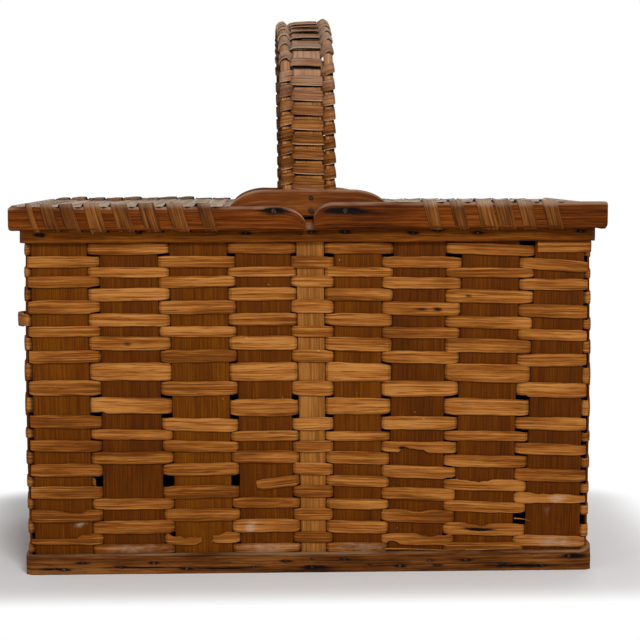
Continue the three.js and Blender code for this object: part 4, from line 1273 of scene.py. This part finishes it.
# Painted shade in the hollow beside each back turn, above the rail:
HOLLOW_SHADE_PLACE = 5.0  # millimetres to the right of each back turn, where it is dark
HOLLOW_SHADE_RISE, HOLLOW_SHADE_SIZE = 1.5 * MM, 1.6 * MM  # that place's height above the rail, and half its length
LASH_SPACING = 1.8 * MM  # between the points of a lashing
FIRST_TURN, NARROW_START = 60.0 * MM, 0.4  # the left front lashing begins as a narrow strip
lash_wood = wood("rail lashing", "8c5626", "623612", "361a07", streaks=0.9, patchy=1.6, dirt_and_shade=1.0, inner_shade=0.9,
                 greyed=("a58d78", 0.2603, 0.2655))


def lash_line(tops, way, low_rise, high_rise, loft):
    """A splint wound round a rail: down its outer face at each of its tops, and up again behind it."""
    out = rail_middle + RAIL_THICKNESS / 2 + LASH_THICKNESS / 2 + LASH_SNUG
    inside = rail_middle - RAIL_THICKNESS / 2 - LASH_THICKNESS / 2 - LASH_SNUG
    top = rail_top + high_rise + LASH_THICKNESS / 2 + 0.15 * MM
    bottom = rail_bottom + low_rise - LASH_THICKNESS / 2 - LASH_SNUG
    uneven = 1.0 + LASH_UNEVEN * wander(tops, 17.0, 0.13)
    line = []
    for x, share in zip(tops, uneven):
        lean = x * MM + LASH_SLANT
        line += [(x * MM - 1.0 * MM, way * inside, top),
                 (x * MM - 0.5 * MM, way * rail_middle, top + loft * share),
                 (x * MM, way * out, top), (lean, way * out, bottom), (lean + 1.0 * MM, way * inside, bottom)]
    line.append(((lean + (x + LASH_TAIL) * MM) / 2, way * inside, (top + bottom) / 2))
    return evenly(rounded(np.array(line), 2), LASH_SPACING)


for (side_name, end_name), tops in LASH_TOPS.items():
    way = -1 if end_name == "front" else 1
    loft, tilt, cup = LASH_FORM[side_name, end_name]
    line = lash_line(tops, way, *RAIL_RISE.get((side_name, end_name), (0.0, 0.0)), loft)
    places = lengths_along(line)
    lean = (-float(way), 0.0, 0.0)
    reach = LASH_SPREAD.get((side_name, end_name), 1.0) + 0.16 * wander(places, len(tops) + way, 13.0)
    if (side_name, end_name) == ("left", "front"):
        reach = reach * np.clip(places / FIRST_TURN, NARROW_START, 1.0)
    run = strip(line, lean, reach, start=130.0 + len(tops) + way,
                tone=0.22 * wander(places, 131 + way, 16.0))
    run["across"] = unit(run["across"] - way * tilt * run["facing"])
    name = f"{side_name}_lid_{end_name}_lashing"
    piece = splints(name, [run], lash_wood, LASH_WIDTH, LASH_THICKNESS, 0.2 * MM, Cuts=3, Waviness=0.4 * MM,
                    Cup=cup, Seed=131.0 + way)
    # Painted shade in the hollow beside each back turn
    if end_name == "back":
        stain(piece, [(((top + HOLLOW_SHADE_PLACE) * MM, rail_middle, rail_top + HOLLOW_SHADE_RISE),
                       HOLLOW_SHADE_SIZE, HOLLOW_SHADE_SIZE, 1.0) for top in tops])
    dress(piece, f"{side_name}_lid", "rim_wood", f"{side_name}_lid_{end_name}_rail")


# Lid mats: flat greyed splints woven over and under each other into a sheet for each lid, cut away round
# the handle and the ears. Those that run along the lid lap over its end rail.
MAT_SPLINT_THICKNESS = 1.0 * MM
MAT_PITCH_X = 14.4 * MM  # of the splints that run from front to back
MAT_PITCH_Y = 14.7 * MM  # of those that run along the lid
MAT_SPLINT_WIDTH = 13.6 * MM
MAT_WAVE = 1.3 * MM
MAT_FALL = {"left": 0.0, "right": 0.6 * MM}  # how far a mat slopes down to its back edge
# Where an open lid leans on the handle's top, the mat is pressed in: how far, and where from the middle
MAT_PRESS = {"left": 1.2 * MM, "right": 0.0}
PRESS_PLACE, PRESS_SPREAD = 160 * MM, 30 * MM
# The splints that run along a lid lap over its end rail: how far past its end, and how far below its top
MAT_LAP = [(0.7 * MM, 0.0), (0.8 * MM, 3.0 * MM), (0.7 * MM, 8 * MM)]
MAT_POINTS, LAP_POINTS = 3.2 * MM, 3.0 * MM  # between the points of a splint, before and after it laps over
MAT_GRAIN = 1.1  # the grain of each splint begins this far along from that of the last
MAT_WAVER = 0.5 * MM  # how far a splint strays from its line
SPLINT_INSET = 0.6 * MM  # the splints' ends keep this far inside the mat's edge
EDGE_OVERLAP = 1 * MM  # a splint may reach this far over a notch's edge
mat_low, mat_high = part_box("right_lid_mat")
mat_level = mat_high.z - 1.8 * MM  # the middle of the weave
mat_wood = wood("greyed mat splint", "d8c0a8", "b0957c", "5e4836", streaks=0.6, patchy=1.2, dirt_and_shade=0.9)
ear_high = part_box("front_hinge_ear")[1]
wrap_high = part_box("handle_wrap")[1]
NOTCH_GAP = 2.0 * MM  # between the mat and the handle or an ear
past_ear = ear_high.x + NOTCH_GAP
past_handle = wrap_high.x + NOTCH_GAP
inside_handle = 2 * wall_y - wrap_high.y - NOTCH_GAP
beside_ear = -ear_high.y - 0.5 * MM


def mat_half_depth(x):
    """How far the mat reaches to the front and to the back, at a place along the lid."""
    if x < past_handle:
        return inside_handle
    return beside_ear if x < past_ear else mat_high.y


def mat_start(y):
    """How far from the middle of the basket the mat begins, at a place across the lid."""
    if abs(y) > beside_ear - EDGE_OVERLAP:
        return past_ear
    return past_handle if abs(y) > inside_handle - EDGE_OVERLAP else mat_low.x


def mat_surface(side_name, x, y, wave):
    """The height of a mat's splints at each place, with the slope of its lid."""
    back = np.clip((np.asarray(y) + mat_high.y) / (2 * mat_high.y), 0.0, 1.0)
    pressed = MAT_PRESS[side_name] * np.exp(-((x - PRESS_PLACE) / PRESS_SPREAD) ** 2)
    return mat_level + MAT_WAVE * np.clip(1.5 * wave, -1, 1) - MAT_FALL[side_name] * back - pressed


def mat_splint(line, across, wave, number, start, seed):
    """One splint of a mat, with painted shade where it dives under another, and paler or darker than the
    rest.
    """
    return strip(line, across, start=start + MAT_GRAIN * number, depth=np.clip(0.4 + wave, -1, 1),
                 tone=0.25 * wander([number], seed, 2.9)[0])


columns = np.arange(mat_low.x + MAT_PITCH_X / 2, mat_high.x, MAT_PITCH_X)
half_rows = math.floor(mat_high.y / MAT_PITCH_Y)
rows = np.arange(-half_rows, half_rows + 1) * MAT_PITCH_Y

for side_name, side in sides:
    strips = []
    for number, x in enumerate(columns):
        half = mat_half_depth(x - MAT_SPLINT_WIDTH / 2 + EDGE_OVERLAP) - SPLINT_INSET
        y = np.linspace(-half, half, max(2, round(2 * half / MAT_POINTS)))
        wave = np.cos(math.pi * (y / MAT_PITCH_Y + number))
        line = np.column_stack((np.full(len(y), side * x) + MAT_WAVER * wander(y, number + 150, 9.0), y,
                                mat_surface(side_name, x, y, wave)))
        strips.append(mat_splint(line, ALONG_X, wave, number, 140, 9.0 + side))
    for number, y in enumerate(rows):
        start = mat_start(abs(y) + MAT_SPLINT_WIDTH / 2 - EDGE_OVERLAP)
        x = np.linspace(start, mat_high.x - SPLINT_INSET, max(2, round((mat_high.x - start) / MAT_POINTS)))
        turn_number = (x - columns[0]) / MAT_PITCH_X
        wave = -np.cos(math.pi * (turn_number + round(y / MAT_PITCH_Y)))
        line = np.column_stack((side * x, np.full(len(x), y) + MAT_WAVER * wander(x, number + 170, 9.0),
                                mat_surface(side_name, x, y, wave)))
        lap = [(side * (mat_high.x + 1.5 * MM), y, rail_top + 1.0 * MM)]
        lap += [(side * (lid_end + past), y, rail_top - below) for past, below in MAT_LAP]
        line = evenly(np.concatenate((line[:-1], rounded([line[-1], *lap], 2))), LAP_POINTS)
        wave = np.interp(np.abs(line[:, 0]), x, wave)
        strips.append(mat_splint(line, (0.0, -side, 0.0), wave, number, 160, 13.0 + side))
    name = f"{side_name}_lid_mat"
    piece = splints(name, strips, mat_wood, MAT_SPLINT_WIDTH, MAT_SPLINT_THICKNESS, 0.2 * MM, Cuts=2,
                    Waviness=0.8 * MM, Unevenness=0.2 * MM, Cup=0.2 * MM, Seed=141.0 + side)
    dress(piece, f"{side_name}_lid", "lid_splint", name)


# Nails: rusted iron nails hold the rims, the foot band and the ears, and each lid's rails turn on a
# heavier nail driven into the ear.
def make_nail_tree():
    """A domed nail, head and shank, at every point of a mesh, pointing the way that the point faces."""
    group, tree, given = new_group("nails", Head="Float", Dome="Float", Shank="Float", Depth="Float")
    ball = tree.add("GeometryNodeMeshUVSphere", {}, {"Segments": 10, "Rings": 6, "Radius": 1.0})
    half_head = given["Head"] * 0.5
    size = tree.vector(half_head, half_head, given["Dome"])
    head = tree.add("GeometryNodeTransform", {}, {"Geometry": ball, "Scale": size})
    rod = tree.add("GeometryNodeMeshCylinder", {"fill_type": "NGON"},
                   {"Vertices": 8, "Radius": given["Shank"] * 0.5, "Depth": given["Depth"]})
    sunk = tree.vector(0.0, 0.0, given["Depth"] * -0.5)
    rod = tree.add("GeometryNodeTransform", {}, {"Geometry": rod, "Translation": sunk})
    join = tree.tree.nodes.new("GeometryNodeJoinGeometry")
    for part in (rod, head):
        tree.tree.links.new(part.socket, join.inputs[0])
    facing = tree.add("GeometryNodeInputNamedAttribute", {"data_type": "FLOAT_VECTOR"}, {"Name": "facing"})
    rotation = tree.add("FunctionNodeAlignRotationToVector", {"axis": "Z"}, {"Vector": facing})
    points = tree.add("GeometryNodeMeshToPoints", {}, {"Mesh": given["Geometry"]})
    nails = tree.add("GeometryNodeInstanceOnPoints", {},
                     {"Points": points, "Instance": Flow(tree, join.outputs[0]), "Rotation": rotation})
    nails = tree.add("GeometryNodeRealizeInstances", {}, {"Geometry": nails})
    nails = tree.add("GeometryNodeSetShadeSmooth", {}, {"Geometry": nails, "Shade Smooth": True})
    nails = tree.add("GeometryNodeSetMaterial", {}, {"Geometry": nails, "Material": given["Material"]})
    tree.add("NodeGroupOutput", {}, {"Geometry": nails})
    return group


nail_tree = make_nail_tree()


def make_nail_iron():
    """Dark iron with patches of rust, pitted and hardly shiny."""
    material, tree = new_material("rusted nail iron")
    place = tree.add("ShaderNodeTexCoord", output="Object")
    rust = tree.noise(place * (900.0, 900.0, 900.0), 3.0, 0.6)
    pits = tree.noise(place * (2600.0, 2600.0, 2600.0), 2.0, 0.6)
    stops = [(0.3, colour("140c09")), (0.55, colour("281b15")), (0.74, colour("75635a"))]
    shade = tree.add("ShaderNodeValToRGB", {"stops": stops}, {0: rust})
    bump = tree.add("ShaderNodeBump", {}, {"Strength": 0.6, "Distance": 0.2 * MM, "Height": pits})
    surface = tree.add("ShaderNodeBsdfPrincipled", {},
                       {"Base Color": shade, "Metallic": 0.35 - rust * 0.3, "Roughness": 0.5 + rust * 0.3,
                        "Normal": bump, "Specular IOR Level": 0.15})
    tree.add("ShaderNodeOutputMaterial", {}, {"Surface": surface})
    return material


nail_iron = make_nail_iron()


def nails(name, spots, head, dome, shank, depth):
    """A piece made of nails: each spot has a place and the way that its head faces."""
    mesh = bpy.data.meshes.new(name)
    mesh.from_pydata([place for place, _ in spots], [], [])
    facing = np.array([way for _, way in spots], float)
    mesh.attributes.new("facing", "FLOAT_VECTOR", "POINT").data.foreach_set("vector", facing.ravel())
    piece = placed(name, mesh)
    run_tree(piece, nail_tree, {"Head": head, "Dome": dome, "Shank": shank, "Depth": depth,
                                "Material": nail_iron})
    return piece


FORWARD, BACKWARD = (0.0, -1.0, 0.0), (0.0, 1.0, 0.0)


def both_walls(spots, front):
    """Nails on the front wall and, turned about, on the back wall."""
    made = [((x * MM, front, z * MM), FORWARD) for x, z in spots]
    return made + [((-x * MM, -front, z * MM), BACKWARD) for x, z in spots]


# Each kind of small nail: where they are, the face that they are driven into, and in millimetres the width
# and height of the head, the width of the shank, and how deep it goes
SMALL_NAILS = {
    "rim_nails": (RIM_NAILS, rim_front, (1.9, 0.28, 1.4, 8)),
    "foot_nails": (FOOT_NAILS, foot_front, (2.4, 0.28, 1.4, 6)),
    "ear_nails": (EAR_NAILS, -ear_front, (3.8, 0.35, 2.0, 9)),
}
for name, (spots, front, sizes) in SMALL_NAILS.items():
    piece = nails(name, both_walls(spots, front), *(size * MM for size in sizes))
    dress(piece, "basket", "nail_iron")

PIVOT_HEAD, PIVOT_DOME, PIVOT_SHANK = 3.8 * MM, 0.45 * MM, 2.4 * MM
PIVOT_SUNK = 1.0 * MM  # the head lies this far inside the nail's own end
for side_name, side in sides:
    for end_name, way in ends:
        name = f"{side_name}_{end_name}_pivot_nail"
        low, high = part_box(name)
        middle = (low + high) / 2
        head_face = (low.y if way < 0 else high.y) - way * PIVOT_SUNK
        piece = nails(name, [((middle.x, head_face, middle.z), (0.0, way, 0.0))], PIVOT_HEAD, PIVOT_DOME,
                      PIVOT_SHANK, high.y - low.y - PIVOT_SUNK)
        dress(piece, "basket", "nail_iron", name)
